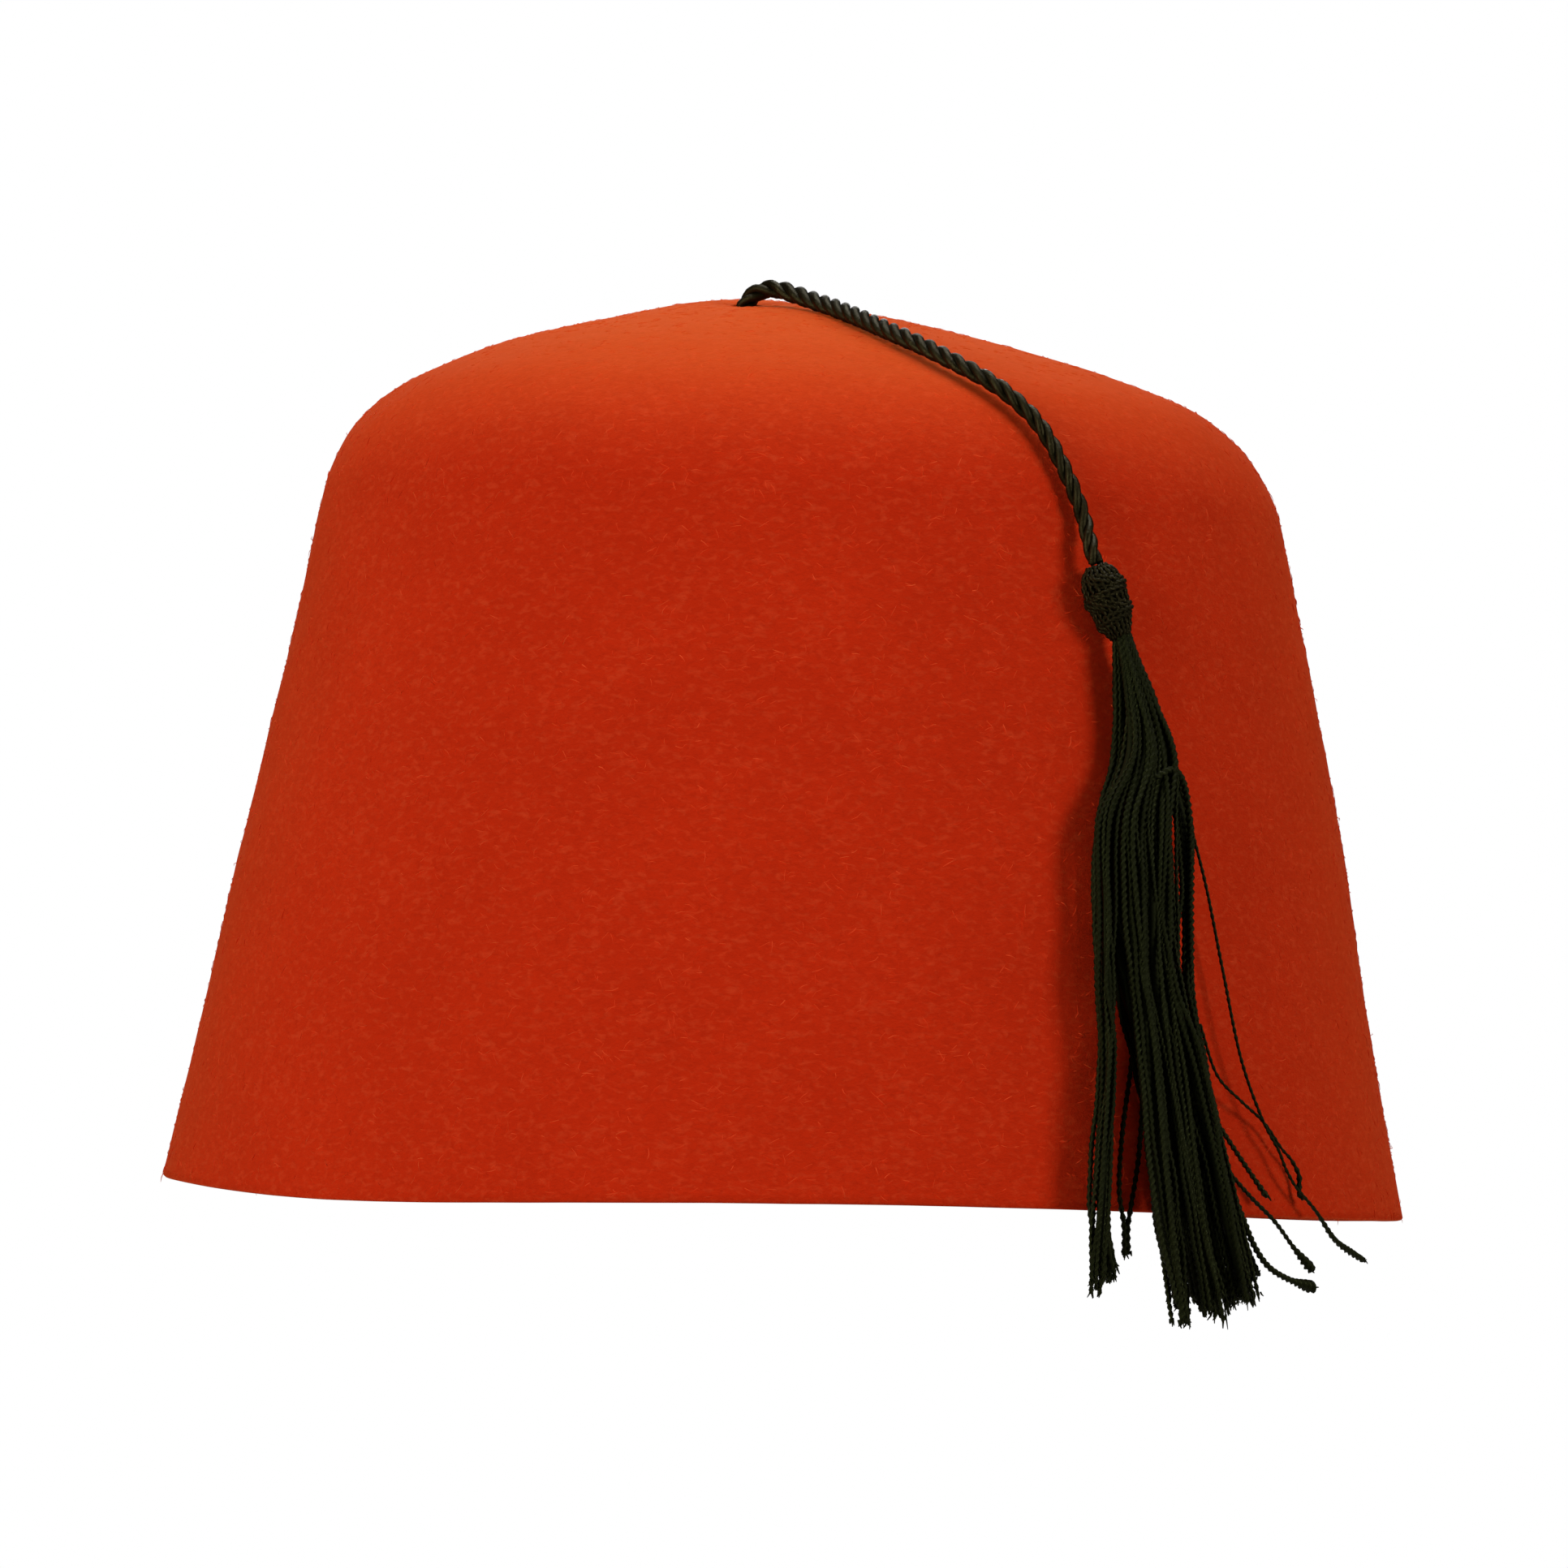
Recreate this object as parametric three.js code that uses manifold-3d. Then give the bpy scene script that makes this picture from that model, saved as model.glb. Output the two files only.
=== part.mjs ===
// A felt fez: a one-piece hollow cap with a cord through its crown and a tassel at the cord's end.
// Millimetres, +Z up, front at -Y. The origin is the centre of the rim's opening, where a head goes in.
import * as THREE from "three";
import { mergeVertices } from "three/addons/utils/BufferGeometryUtils.js";
import Module from "manifold-3d";

const wasm = await Module();
wasm.setup();

// Driving dimensions
const HEAD_CIRCUMFERENCE = 580;
const FELT_THICKNESS = 2.2;
const CROWN_HEIGHT = 137.2;
const CORD_DIAMETER = 2.8;
const HEAD_DIAMETER = 7.0;
const GAP = 0.3;

const RIM_RADIUS = HEAD_CIRCUMFERENCE / (2 * Math.PI) + FELT_THICKNESS;

// The felt's outside from the rim to the peak. Each section is a circle: drop is how far it lies below
// the peak, inset how far it lies inside the rim's radius, and lean how far its centre lies to the left.
const SECTIONS = [
  { name: "rim", drop: CROWN_HEIGHT, inset: 0, lean: 0 },
  { name: "low wall", drop: 92, inset: 8.9, lean: 0.3 },
  { name: "high wall", drop: 37, inset: 20.5, lean: 0.8 },
  { name: "shoulder foot", drop: 28.5, inset: 22.7, lean: 1.1 },
  { name: "shoulder", drop: 21.5, inset: 26.6, lean: 1.6 },
  { name: "shoulder head", drop: 15.8, inset: 32.8, lean: 1.8 },
  { name: "dome edge", drop: 11.3, inset: 42.5, lean: 3.0 },
  { name: "dome", drop: 7.4, inset: 55, lean: 5.2 },
  { name: "dome top", drop: 3.4, inset: 71.5, lean: 7.0 },
  { name: "cap", drop: 1.0, inset: 84.5, lean: 9.6 },
  { name: "peak", drop: 0, inset: RIM_RADIUS, lean: 11.5 },
];
const ROWS_PER_SECTION = 2;
const AROUND = 72;

// The hole for the cord in plan, a little in front of the peak.
const HOLE = { x: -10.8, y: -13.5, radius: CORD_DIAMETER / 2 + 0.4, sides: 16, drill: 30 };

// Soft hollows in the top, pressed straight down, each at a place in plan.
const HOLLOWS = [
  { name: "right slump", x: 38, y: 0, reach: 10, depth: 1.7 },
  { name: "cord pull", x: HOLE.x, y: HOLE.y, reach: 5, depth: 0.6 },
];
const HOLLOWS_FADE = { none: CROWN_HEIGHT - 30, full: CROWN_HEIGHT - 15 };

// Where the cut edge of the rim dips or lifts, by azimuth in degrees from +X, fading out up the wall.
const RIM_WAVES = [
  { name: "left dip", azimuth: -136, spread: 27, lift: -1.6 },
  { name: "right lift", azimuth: -68, spread: 33, lift: 1.2 },
];
const RIM_WAVE_HEIGHT = 30;

// The knot under the hole, tilted in degrees to lie against the felt, and its outline from foot to top.
const KNOT = { diameter: 8, height: 5.6, top: 132.4, tilt: 9.5, sides: 16 };
const KNOT_SHAPE = [
  { name: "foot", drop: 1, girth: 0.45 },
  { name: "lower", drop: 0.82, girth: 0.85 },
  { name: "middle", drop: 0.5, girth: 1 },
  { name: "upper", drop: 0.18, girth: 0.88 },
  { name: "top", drop: 0, girth: 0.6 },
];

// The cord's middle line, from the knot up through the hole, over a small arch and down to the tassel's head.
const CORD_ROUTE = [
  [-10.7, -13.1, 132.9],
  [-10.7, -13.5, 135.4],
  [-8.7, -14.1, 137.4],
  [-6.3, -15.3, 137.8],
  [-3.2, -17.8, 136.9],
  [-0.1, -21.6, 135.7],
  [3.0, -26.5, 134.4],
  [6.7, -33.3, 132.6],
  [9.7, -38.9, 131.0],
  [12.8, -44.1, 129.4],
  [15.9, -47.8, 127.9],
  [18.9, -51.3, 126.3],
  [22.0, -54.3, 124.6],
  [25.1, -56.6, 122.9],
  [27.8, -58.0, 121.2],
  [30.3, -59.2, 119.2],
  [32.7, -60.2, 116.9],
  [34.8, -61.2, 114.1],
  [36.4, -62.0, 111.3],
  [37.9, -62.6, 108.4],
  [39.2, -63.0, 105.5],
  [40.4, -63.4, 102.4],
  [41.2, -64.9, 99.4],
  [41.8, -66.0, 97.2],
  [42.3, -66.2, 95.6],
];
const CORD_SIDES = 8;
const CORD_STEPS = 40;

// The tassel's head is a tight knot, from its top at the cord to its foot at the skirt: a core, as shares
// of the head's length and width, with the cord wound round it from the left in a falling turn.
const HEAD_TOP = new THREE.Vector3(42.4, -66.2, 95.2);
const HEAD_FOOT = new THREE.Vector3(46.3, -66.3, 85.0);
const HEAD_CORE = [
  { name: "top", along: 0, girth: 0.48 },
  { name: "upper", along: 0.13, girth: 0.74 },
  { name: "middle", along: 0.5, girth: 0.86 },
  { name: "lower", along: 0.84, girth: 0.76 },
  { name: "foot", along: 1, girth: 0.62 },
];
const HEAD_SIDES = 16;
const HEAD_STEPS = 10;
const WRAP = { radius: 1.5, turns: 1.86, start: 183, from: 0.17, to: 0.84, sides: 8, rings: 34 };

// The skirt hangs against the wall. A station is a height down the wall with the share of a lock's
// girth reached there and how far the middles of the back, core and front layers stand off the felt.
const SKIRT_AZIMUTH = -55;
const STATIONS = [
  { name: "neck", height: 82.6, share: 0.4, back: 3.1, core: 3.9, front: 4.7 },
  { name: "throat", height: 76, share: 0.62, back: 2.3, core: 3.7, front: 5.0 },
  { name: "chest", height: 68, share: 0.85, back: 2.5, core: 4.0, front: 5.4 },
  { name: "waist", height: 58, share: 1, back: 2.8, core: 4.3, front: 5.8 },
  { name: "middle", height: 45, share: 1, back: 2.8, core: 4.3, front: 5.8 },
  { name: "low", height: 23, share: 1, back: 2.8, core: 4.2, front: 5.6 },
  { name: "rim", height: 2, share: 1, back: 2.8, core: 4.1, front: 5.4 },
];

// The locks of thread: how far each lies to the right of the skirt's azimuth at every station and at its
// cut end, the height of that end, and its girth.
const LOCKS = [
  { name: "hank front", layer: "front", girth: 3.6, neck: -0.9, throat: -0.6, chest: -1.8, waist: -6.0,
    middle: -7.6, low: -9.0, rim: -12.6, end: -12.6, tip: -12.5 },
  { name: "left front", layer: "front", girth: 4.8, neck: -0.3, throat: 1.0, chest: 1.2, waist: -2.4,
    middle: -3.4, low: -2.4, rim: -1.2, end: 1.6, tip: -15.6 },
  { name: "middle front", layer: "front", girth: 5.0, neck: 0.4, throat: 2.4, chest: 3.8, waist: 1.0,
    middle: 0.6, low: 2.0, rim: 4.2, end: 7.6, tip: -15.2 },
  { name: "right front", layer: "front", girth: 4.8, neck: 1.0, throat: 3.6, chest: 5.6, waist: 3.6,
    middle: 4.0, low: 6.2, rim: 9.6, end: 13.8, tip: -13.4 },
  { name: "hank back", layer: "back", girth: 3.6, neck: -0.8, throat: -0.8, chest: -3.0, waist: -6.0,
    middle: -7.2, low: -8.4, rim: -11.4, end: -11.4, tip: -11.6 },
  { name: "left back", layer: "back", girth: 4.6, neck: -0.3, throat: 0.6, chest: 0, waist: -3.2,
    middle: -4.2, low: -2.0, rim: 0.6, end: 3.6, tip: -14.8 },
  { name: "middle back", layer: "back", girth: 4.8, neck: 0.3, throat: 2.4, chest: 3.2, waist: 0.2,
    middle: -0.4, low: 1.8, rim: 4.8, end: 8.8, tip: -14.6 },
  { name: "right back", layer: "back", girth: 4.6, neck: 0.9, throat: 3.6, chest: 5.4, waist: 3.2,
    middle: 3.2, low: 5.6, rim: 9.0, end: 13.6, tip: -13.6 },
  { name: "hank core", layer: "core", girth: 2.8, neck: -0.5, throat: 0, chest: -1.0, waist: -4.4,
    middle: -5.6, low: -8.2, rim: -12.0, end: -12.0, tip: -11.9 },
  { name: "left core", layer: "core", girth: 3.4, neck: 0, throat: 1.6, chest: 2.1, waist: -1.0,
    middle: -1.8, low: 0, rim: 2.1, end: 5.4, tip: -14.8 },
  { name: "right core", layer: "core", girth: 3.4, neck: 0.6, throat: 3.1, chest: 4.8, waist: 2.5,
    middle: 1.9, low: 3.9, rim: 6.9, end: 11.0, tip: -13.8 },
  { name: "side strand", layer: "back", girth: 2.4, neck: 1.2, throat: 4.4, chest: 8.2, waist: 10.6,
    middle: 9.6, low: 9.4, rim: 12.6, end: 17.6, tip: -10.4 },
];
const LOCK_SIDES = 8;
const LOCK_RINGS = 18;

// The bound neck that all locks leave: distance along the head's line from its foot, with the radius there.
const NECK = [
  { along: 0, radius: 2.1 },
  { along: 1.6, radius: 2.5 },
  { along: 3.6, radius: 2.3 },
];
const NECK_SIDES = 12;
const NECK_RINGS = 5;

const profile = new THREE.CatmullRomCurve3(
  SECTIONS.map(({ drop, inset, lean }) => new THREE.Vector3(RIM_RADIUS - inset, -lean, CROWN_HEIGHT - drop)),
);

function bell(distance, reach) {
  return Math.exp(-((distance / reach) ** 2));
}

// A point of the felt's outside; along runs from 0 at the rim to 1 at the peak.
function feltOutside(azimuth, along) {
  const { x: radius, y: shift, z: height } = profile.getPoint(along);
  const point = new THREE.Vector3(shift + radius * Math.cos(azimuth), radius * Math.sin(azimuth), height);
  const onTop = THREE.MathUtils.smoothstep(height, HOLLOWS_FADE.none, HOLLOWS_FADE.full);
  for (const { x, y, reach, depth } of HOLLOWS) {
    point.z -= depth * onTop * bell(Math.hypot(point.x - x, point.y - y), reach);
  }
  const nearRim = Math.max(0, 1 - height / RIM_WAVE_HEIGHT) ** 2;
  for (const wave of RIM_WAVES) {
    const turn = THREE.MathUtils.radToDeg(azimuth) - wave.azimuth;
    const apart = THREE.MathUtils.euclideanModulo(turn + 180, 360) - 180;
    point.z += wave.lift * nearRim * bell(apart, wave.spread);
  }
  return point;
}

function feltNormal(azimuth, along) {
  const step = 1e-3;
  const low = Math.max(0, along - step);
  const high = Math.min(1 - step, along + step);
  const up = feltOutside(azimuth, high).sub(feltOutside(azimuth, low));
  const round = feltOutside(azimuth + step, along).sub(feltOutside(azimuth - step, along));
  return round.cross(up).normalize();
}

function feltInside(azimuth, along) {
  const outside = feltOutside(azimuth, along);
  const inside = outside.clone().addScaledVector(feltNormal(azimuth, along), -FELT_THICKNESS);
  if (along === 0) inside.z = outside.z;
  return inside;
}

// A skin through rings of points, where a ring of one point closes an end.
function skin(rings) {
  const positions = [];
  const starts = [];
  for (const ring of rings) {
    starts.push(positions.length / 3);
    for (const point of ring) positions.push(point.x, point.y, point.z);
  }
  const faces = [];
  for (let k = 0; k + 1 < rings.length; k++) {
    const lowerIsRing = rings[k].length > 1;
    const upperIsRing = rings[k + 1].length > 1;
    const sides = Math.max(rings[k].length, rings[k + 1].length);
    for (let i = 0; i < sides; i++) {
      const next = (i + 1) % sides;
      if (lowerIsRing) faces.push(starts[k] + i, starts[k] + next, starts[k + 1] + (upperIsRing ? next : 0));
      if (upperIsRing) faces.push(starts[k] + (lowerIsRing ? i : 0), starts[k + 1] + next, starts[k + 1] + i);
    }
  }
  const geometry = new THREE.BufferGeometry();
  geometry.setAttribute("position", new THREE.Float32BufferAttribute(positions, 3));
  geometry.setIndex(faces);
  return geometry;
}

function solidOf(geometry) {
  const plain = geometry.clone();
  plain.deleteAttribute("normal");
  plain.deleteAttribute("uv");
  const merged = mergeVertices(plain, 1e-5);
  const vertProperties = new Float32Array(merged.attributes.position.array);
  const triVerts = new Uint32Array(merged.index.array);
  return new wasm.Manifold(new wasm.Mesh({ numProp: 3, vertProperties, triVerts }));
}

function geometryOf(solid) {
  const { vertProperties, triVerts } = solid.getMesh();
  const geometry = new THREE.BufferGeometry();
  geometry.setAttribute("position", new THREE.Float32BufferAttribute(vertProperties, 3));
  geometry.setIndex(Array.from(triVerts));
  geometry.computeVertexNormals();
  return geometry;
}

function feltCap() {
  const rows = (SECTIONS.length - 1) * ROWS_PER_SECTION;
  const ring = (surface, row) =>
    Array.from({ length: AROUND }, (_, i) => surface((i / AROUND) * 2 * Math.PI, row / rows));
  const outside = Array.from({ length: rows }, (_, row) => ring(feltOutside, row));
  const inside = Array.from({ length: rows }, (_, row) => ring(feltInside, row));
  const shell = skin([[feltInside(0, 1)], ...inside.reverse(), ...outside, [feltOutside(0, 1)]]);
  const drill = new THREE.CylinderGeometry(HOLE.radius, HOLE.radius, HOLE.drill, HOLE.sides);
  drill.rotateX(Math.PI / 2).translate(HOLE.x, HOLE.y, CROWN_HEIGHT);
  return geometryOf(solidOf(shell).subtract(solidOf(drill)));
}

function stopKnot() {
  const outline = KNOT_SHAPE.map(
    ({ drop, girth }) => new THREE.Vector2((girth * KNOT.diameter) / 2, -drop * KNOT.height),
  );
  const closed = [new THREE.Vector2(0, -KNOT.height), ...outline, new THREE.Vector2(0, 0)];
  return new THREE.LatheGeometry(closed, KNOT.sides).rotateX(Math.PI / 2);
}

function cordTube() {
  const route = new THREE.CatmullRomCurve3(CORD_ROUTE.map((place) => new THREE.Vector3(...place)));
  const section = new THREE.Shape(
    Array.from({ length: CORD_SIDES }, (_, i) => {
      const turn = (i / CORD_SIDES) * 2 * Math.PI;
      return new THREE.Vector2(Math.cos(turn), Math.sin(turn)).multiplyScalar(CORD_DIAMETER / 2);
    }),
  );
  return new THREE.ExtrudeGeometry(section, { steps: CORD_STEPS, bevelEnabled: false, extrudePath: route });
}

// The wall's outside radius at a height; below the rim it stays the rim's.
function wallRadius(height) {
  let [low, high] = [0, 1];
  for (let k = 0; k < 40; k++) {
    const middle = (low + high) / 2;
    if (profile.getPoint(middle).z < height) low = middle;
    else high = middle;
  }
  return profile.getPoint(low).x;
}

// A place on the wall: height, arc length to the right of the skirt's azimuth, distance off the felt.
function onWall(height, across, lift) {
  const radius = wallRadius(Math.max(height, 0)) + lift;
  const azimuth = THREE.MathUtils.degToRad(SKIRT_AZIMUTH) + across / radius;
  return new THREE.Vector3(radius * Math.cos(azimuth), radius * Math.sin(azimuth), height);
}

// A closed round strand along a middle line, with its radius given along the line.
function strand(line, radiusAt, rings, sides) {
  const frames = line.computeFrenetFrames(rings - 1, false);
  const loops = Array.from({ length: rings }, (_, k) => {
    const share = k / (rings - 1);
    const middle = line.getPointAt(share);
    return Array.from({ length: sides }, (_, i) => {
      const turn = (i / sides) * 2 * Math.PI;
      return middle
        .clone()
        .addScaledVector(frames.normals[k], Math.cos(turn) * radiusAt(share))
        .addScaledVector(frames.binormals[k], Math.sin(turn) * radiusAt(share));
    });
  });
  return skin([[line.getPointAt(0)], ...loops, [line.getPointAt(1)]]);
}

function lockStrand(lock) {
  const places = STATIONS.map((station) => onWall(station.height, lock[station.name], station[lock.layer]));
  const hem = STATIONS[STATIONS.length - 1];
  places.push(onWall(lock.tip, lock.end, hem[lock.layer]));
  const shares = STATIONS.map(({ share }) => share).concat(1);
  const line = new THREE.CatmullRomCurve3(places);
  const radii = shares.map((share) => (share * lock.girth) / 2);
  const swell = new THREE.SplineCurve(radii.map((radius, k) => new THREE.Vector2(k, radius)));
  const radiusAt = (along) => swell.getPoint(line.getUtoTmapping(along)).y;
  return strand(line, radiusAt, LOCK_RINGS, LOCK_SIDES);
}

// The knot with its top at the origin and its foot down -Z.
function headKnot() {
  const length = HEAD_TOP.distanceTo(HEAD_FOOT);
  const shape = new THREE.SplineCurve(
    HEAD_CORE.map(({ along, girth }) => new THREE.Vector2((girth * HEAD_DIAMETER) / 2, -along * length)),
  );
  const outline = [new THREE.Vector2(0, 0), ...shape.getPoints(HEAD_STEPS), new THREE.Vector2(0, -length)];
  const core = new THREE.LatheGeometry(outline.reverse(), HEAD_SIDES).rotateX(Math.PI / 2);
  const places = Array.from({ length: WRAP.rings }, (_, k) => {
    const share = k / (WRAP.rings - 1);
    const turn = THREE.MathUtils.degToRad(WRAP.start + 360 * WRAP.turns * share);
    const ring = HEAD_DIAMETER / 2 - WRAP.radius;
    const along = THREE.MathUtils.lerp(WRAP.from, WRAP.to, share);
    return new THREE.Vector3(ring * Math.cos(turn), ring * Math.sin(turn), -along * length);
  });
  const wrap = strand(new THREE.CatmullRomCurve3(places), () => WRAP.radius, WRAP.rings, WRAP.sides);
  return geometryOf(solidOf(core).add(solidOf(wrap)));
}

function skirt() {
  const axis = HEAD_FOOT.clone().sub(HEAD_TOP).normalize();
  const line = new THREE.CatmullRomCurve3(
    NECK.map(({ along }) => HEAD_FOOT.clone().addScaledVector(axis, GAP + along)),
  );
  const swell = new THREE.SplineCurve(NECK.map(({ radius }, k) => new THREE.Vector2(k, radius)));
  const radiusAt = (along) => swell.getPoint(line.getUtoTmapping(along)).y;
  const neck = solidOf(strand(line, radiusAt, NECK_RINGS, NECK_SIDES));
  return geometryOf(LOCKS.reduce((whole, lock) => whole.add(solidOf(lockStrand(lock))), neck));
}

const felt = new THREE.MeshStandardMaterial({ color: 0xb8290c, roughness: 0.95, metalness: 0 });
const cordBlack = new THREE.MeshStandardMaterial({ color: 0x15140d, roughness: 0.7, metalness: 0 });
const knotBlack = new THREE.MeshStandardMaterial({ color: 0x13120c, roughness: 0.75, metalness: 0 });
const headBlack = new THREE.MeshStandardMaterial({ color: 0x16150f, roughness: 0.6, metalness: 0 });
const skirtBlack = new THREE.MeshStandardMaterial({ color: 0x14130c, roughness: 0.6, metalness: 0 });

const fez = new THREE.Group();

function addPiece(name, geometry, material) {
  const piece = new THREE.Mesh(geometry, material);
  piece.name = name;
  fez.add(piece);
  return piece;
}

addPiece("felt_cap", feltCap(), felt);

const knot = addPiece("stop_knot", stopKnot(), knotBlack);
knot.position.set(CORD_ROUTE[0][0], CORD_ROUTE[0][1], KNOT.top);
knot.rotation.x = THREE.MathUtils.degToRad(KNOT.tilt);

addPiece("tassel_cord", cordTube(), cordBlack);

const head = addPiece("tassel_head", headKnot(), headBlack);
head.position.copy(HEAD_TOP);
head.quaternion.setFromUnitVectors(
  new THREE.Vector3(0, 0, -1),
  HEAD_FOOT.clone().sub(HEAD_TOP).normalize(),
);

addPiece("tassel_skirt", skirt(), skirtBlack);

export default fez;
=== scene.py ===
"""A fez of red wool felt with a black tassel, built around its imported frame.

Tables are in millimetres in the frame of the part; meshes are in metres.
"""

import math

import bpy
import numpy as np
from bpy.props import FloatProperty, FloatVectorProperty, IntProperty, PointerProperty
from mathutils import Matrix, Vector


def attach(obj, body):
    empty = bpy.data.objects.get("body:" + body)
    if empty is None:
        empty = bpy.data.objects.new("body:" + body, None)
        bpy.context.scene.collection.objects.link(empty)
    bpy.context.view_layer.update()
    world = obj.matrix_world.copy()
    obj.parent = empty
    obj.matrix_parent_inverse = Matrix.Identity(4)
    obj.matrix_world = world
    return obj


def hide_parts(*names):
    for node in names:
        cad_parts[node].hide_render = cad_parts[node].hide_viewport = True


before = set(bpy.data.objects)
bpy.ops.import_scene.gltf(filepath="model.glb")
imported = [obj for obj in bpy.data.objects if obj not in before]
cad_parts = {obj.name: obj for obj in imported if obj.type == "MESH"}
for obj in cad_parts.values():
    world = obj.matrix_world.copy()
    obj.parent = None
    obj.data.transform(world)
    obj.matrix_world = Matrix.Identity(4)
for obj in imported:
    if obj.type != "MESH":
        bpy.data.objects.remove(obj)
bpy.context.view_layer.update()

bl_info = {
    "name": "Fez hat",
    "version": (1, 0, 0),
    "blender": (4, 5, 0),
    "location": "View3D > Sidebar > Fez",
    "description": "Makes a felt fez with its cord, tassel and studio",
    "category": "Add Mesh",
}

MM = 0.001
SEED = 58

# The felt's outside from the rim to the peak: drop below the peak, inset from the rim, lean to the left.
SECTIONS = (
    ("rim", 137.2, 0.0, 0.0),
    ("low wall", 92.0, 8.9, 0.3),
    ("high wall", 37.0, 20.5, 0.8),
    ("shoulder foot", 28.5, 22.7, 1.1),
    ("shoulder", 21.5, 26.6, 1.6),
    ("shoulder head", 15.8, 32.8, 1.8),
    ("dome edge", 11.3, 42.5, 3.0),
    ("dome", 7.4, 55.0, 5.2),
    ("dome top", 3.4, 71.5, 7.0),
    ("cap", 1.0, 84.5, 9.6),
    ("peak", 0.0, None, 11.5),
)

# The section where the round rows end and rows that close in on the cord's hole begin, and that hole.
DOME_SECTION = 7
HOLE = (-10.8, -13.5)
HOLE_RADIUS = 1.8

# Soft hollows in the top: place in plan, reach and depth.
HOLLOWS = (
    ("right slump", 38.0, 0.0, 10.0, 2.0),
    ("right shoulder", 54.0, 0.0, 20.0, 1.1),
    ("cord pull", *HOLE, 5.0, 0.6),
)

# The hollows start at the first distance below the peak, and are full from the second one up.
HOLLOWS_START = 30.0
HOLLOWS_FULL = 15.0

# Where the rim's edge dips or lifts: azimuth and spread in degrees, lift.
RIM_WAVES = (("left dip", -136.0, 27.0, -1.6), ("right lift", -68.0, 33.0, 1.2))
RIM_WAVE_HEIGHT = 30.0

# The cut edge between the felt's two faces: share of the thickness from outside, rise above the edge.
CUT_EDGE = ((0.1, 0.12), (0.3, 0.02), (0.5, 0.0), (0.7, 0.02), (0.9, 0.12))
CUT_CORNER = 0.45

# The felt's grid: columns round the hat, distance between rows on the wall, rows on the top, how many
# rows outside there are for one inside, and rows in the wall of the hole as shares of the thickness. The
# last two are the steps along the profile and the halvings that find a height on the top.
FELT_COLUMNS = 360
FELT_ROW = 1.05
TOP_ROWS = 44
INSIDE_EVERY = 4
HOLE_WALL = (0.2, 0.5, 0.8)
PROFILE_STEPS = 4000
TOP_HALVINGS = 40

# Painted highlight for the top's light and sheen: the felt is painted lighter and more orange from this
# height up, and most from the second height up.
TOP_HIGHLIGHT_START = 105.0
TOP_HIGHLIGHT_FULL = 134.0

# The blocked felt is never quite even: swell across, and its height.
FELT_SWELLS = ((34.0, 0.2), (11.0, 0.07), (4.0, 0.03))
SWELL_WAVES = 24
SWELL_SIZES = (0.7, 1.4)

# The nap's fibres: spread of their headings and bends in radians, lengths as shares of the usual one, how
# far they stand out, the share that lies down and how far the rest rises, how much flatter they lie on the
# top, radii, taper, and their paleness with its spread.
NAP_HEADING = 0.8
NAP_BEND = 0.3
NAP_LENGTHS = (0.4, 1.3)
NAP_STAND = 0.05
NAP_LYING = 0.97
NAP_RISE = 0.4
NAP_FLAT_TOP = 0.85
NAP_RADII = (0.04, 0.08)
NAP_TAPER = (0.8, 1.0, 0.35)
NAP_PALE = (0.3, 0.25)

# The arch of a fibre: shares of its length and its bend, height off the felt and share of its stand.
NAP_ARCH = (
    ("root", 0.0, 0.0, -0.05, 0.0),
    ("middle", 0.5, 0.0, 0.06, 0.8),
    ("end", 1.0, 0.5, 0.02, 0.7),
)

# The cord's middle line, from the knot inside up through the hole and down to the tassel's head.
CORD_ROUTE = (
    (-10.7, -13.1, 132.9),
    (-10.7, -13.5, 135.4),
    (-8.7, -14.1, 137.4),
    (-6.3, -15.3, 137.8),
    (-3.2, -17.8, 136.9),
    (-0.1, -21.6, 135.7),
    (3.0, -26.5, 134.4),
    (6.7, -33.3, 132.6),
    (9.7, -38.9, 131.0),
    (12.8, -44.1, 129.4),
    (15.9, -47.8, 127.9),
    (18.9, -51.3, 126.3),
    (22.0, -54.3, 124.6),
    (25.1, -56.6, 122.9),
    (27.8, -58.0, 121.2),
    (30.3, -59.2, 119.2),
    (32.7, -60.2, 116.9),
    (34.8, -61.2, 114.1),
    (36.4, -62.0, 111.3),
    (37.9, -62.6, 108.4),
    (39.2, -63.0, 105.5),
    (40.4, -63.4, 102.4),
    (41.2, -64.9, 99.4),
    (41.8, -66.0, 97.2),
    (42.3, -66.2, 95.6),
)

# The cord's plies, the distance between its rings, and the share that the tassel's weight draws off its
# width between two shares of its length.
CORD_PLIES = 3
CORD_STEP = 0.3
CORD_DRAWN = 0.16
CORD_DRAWN_OVER = (0.45, 0.85)
CORD_SIDES = 12

# A ply: how far its two yarns stand out, how far plies press into each other, and the tints of the plies.
PLY_YARN = 0.05
PLY_PRESS = 1.06
PLY_TINTS = (0.7, 1.0)

# The knot inside: middle, outside diameter, height, and its tilt against the felt in degrees.
KNOT_MIDDLE = (-10.7, -13.1, 129.6)
KNOT_DIAMETER = 8.0
KNOT_HEIGHT = 5.6
KNOT_TILT = 9.5
KNOT_CORD_RADIUS = 1.25
KNOT_PITCH_SHARE = 0.65
KNOT_RINGS = 160
KNOT_SIDES = 8

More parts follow.
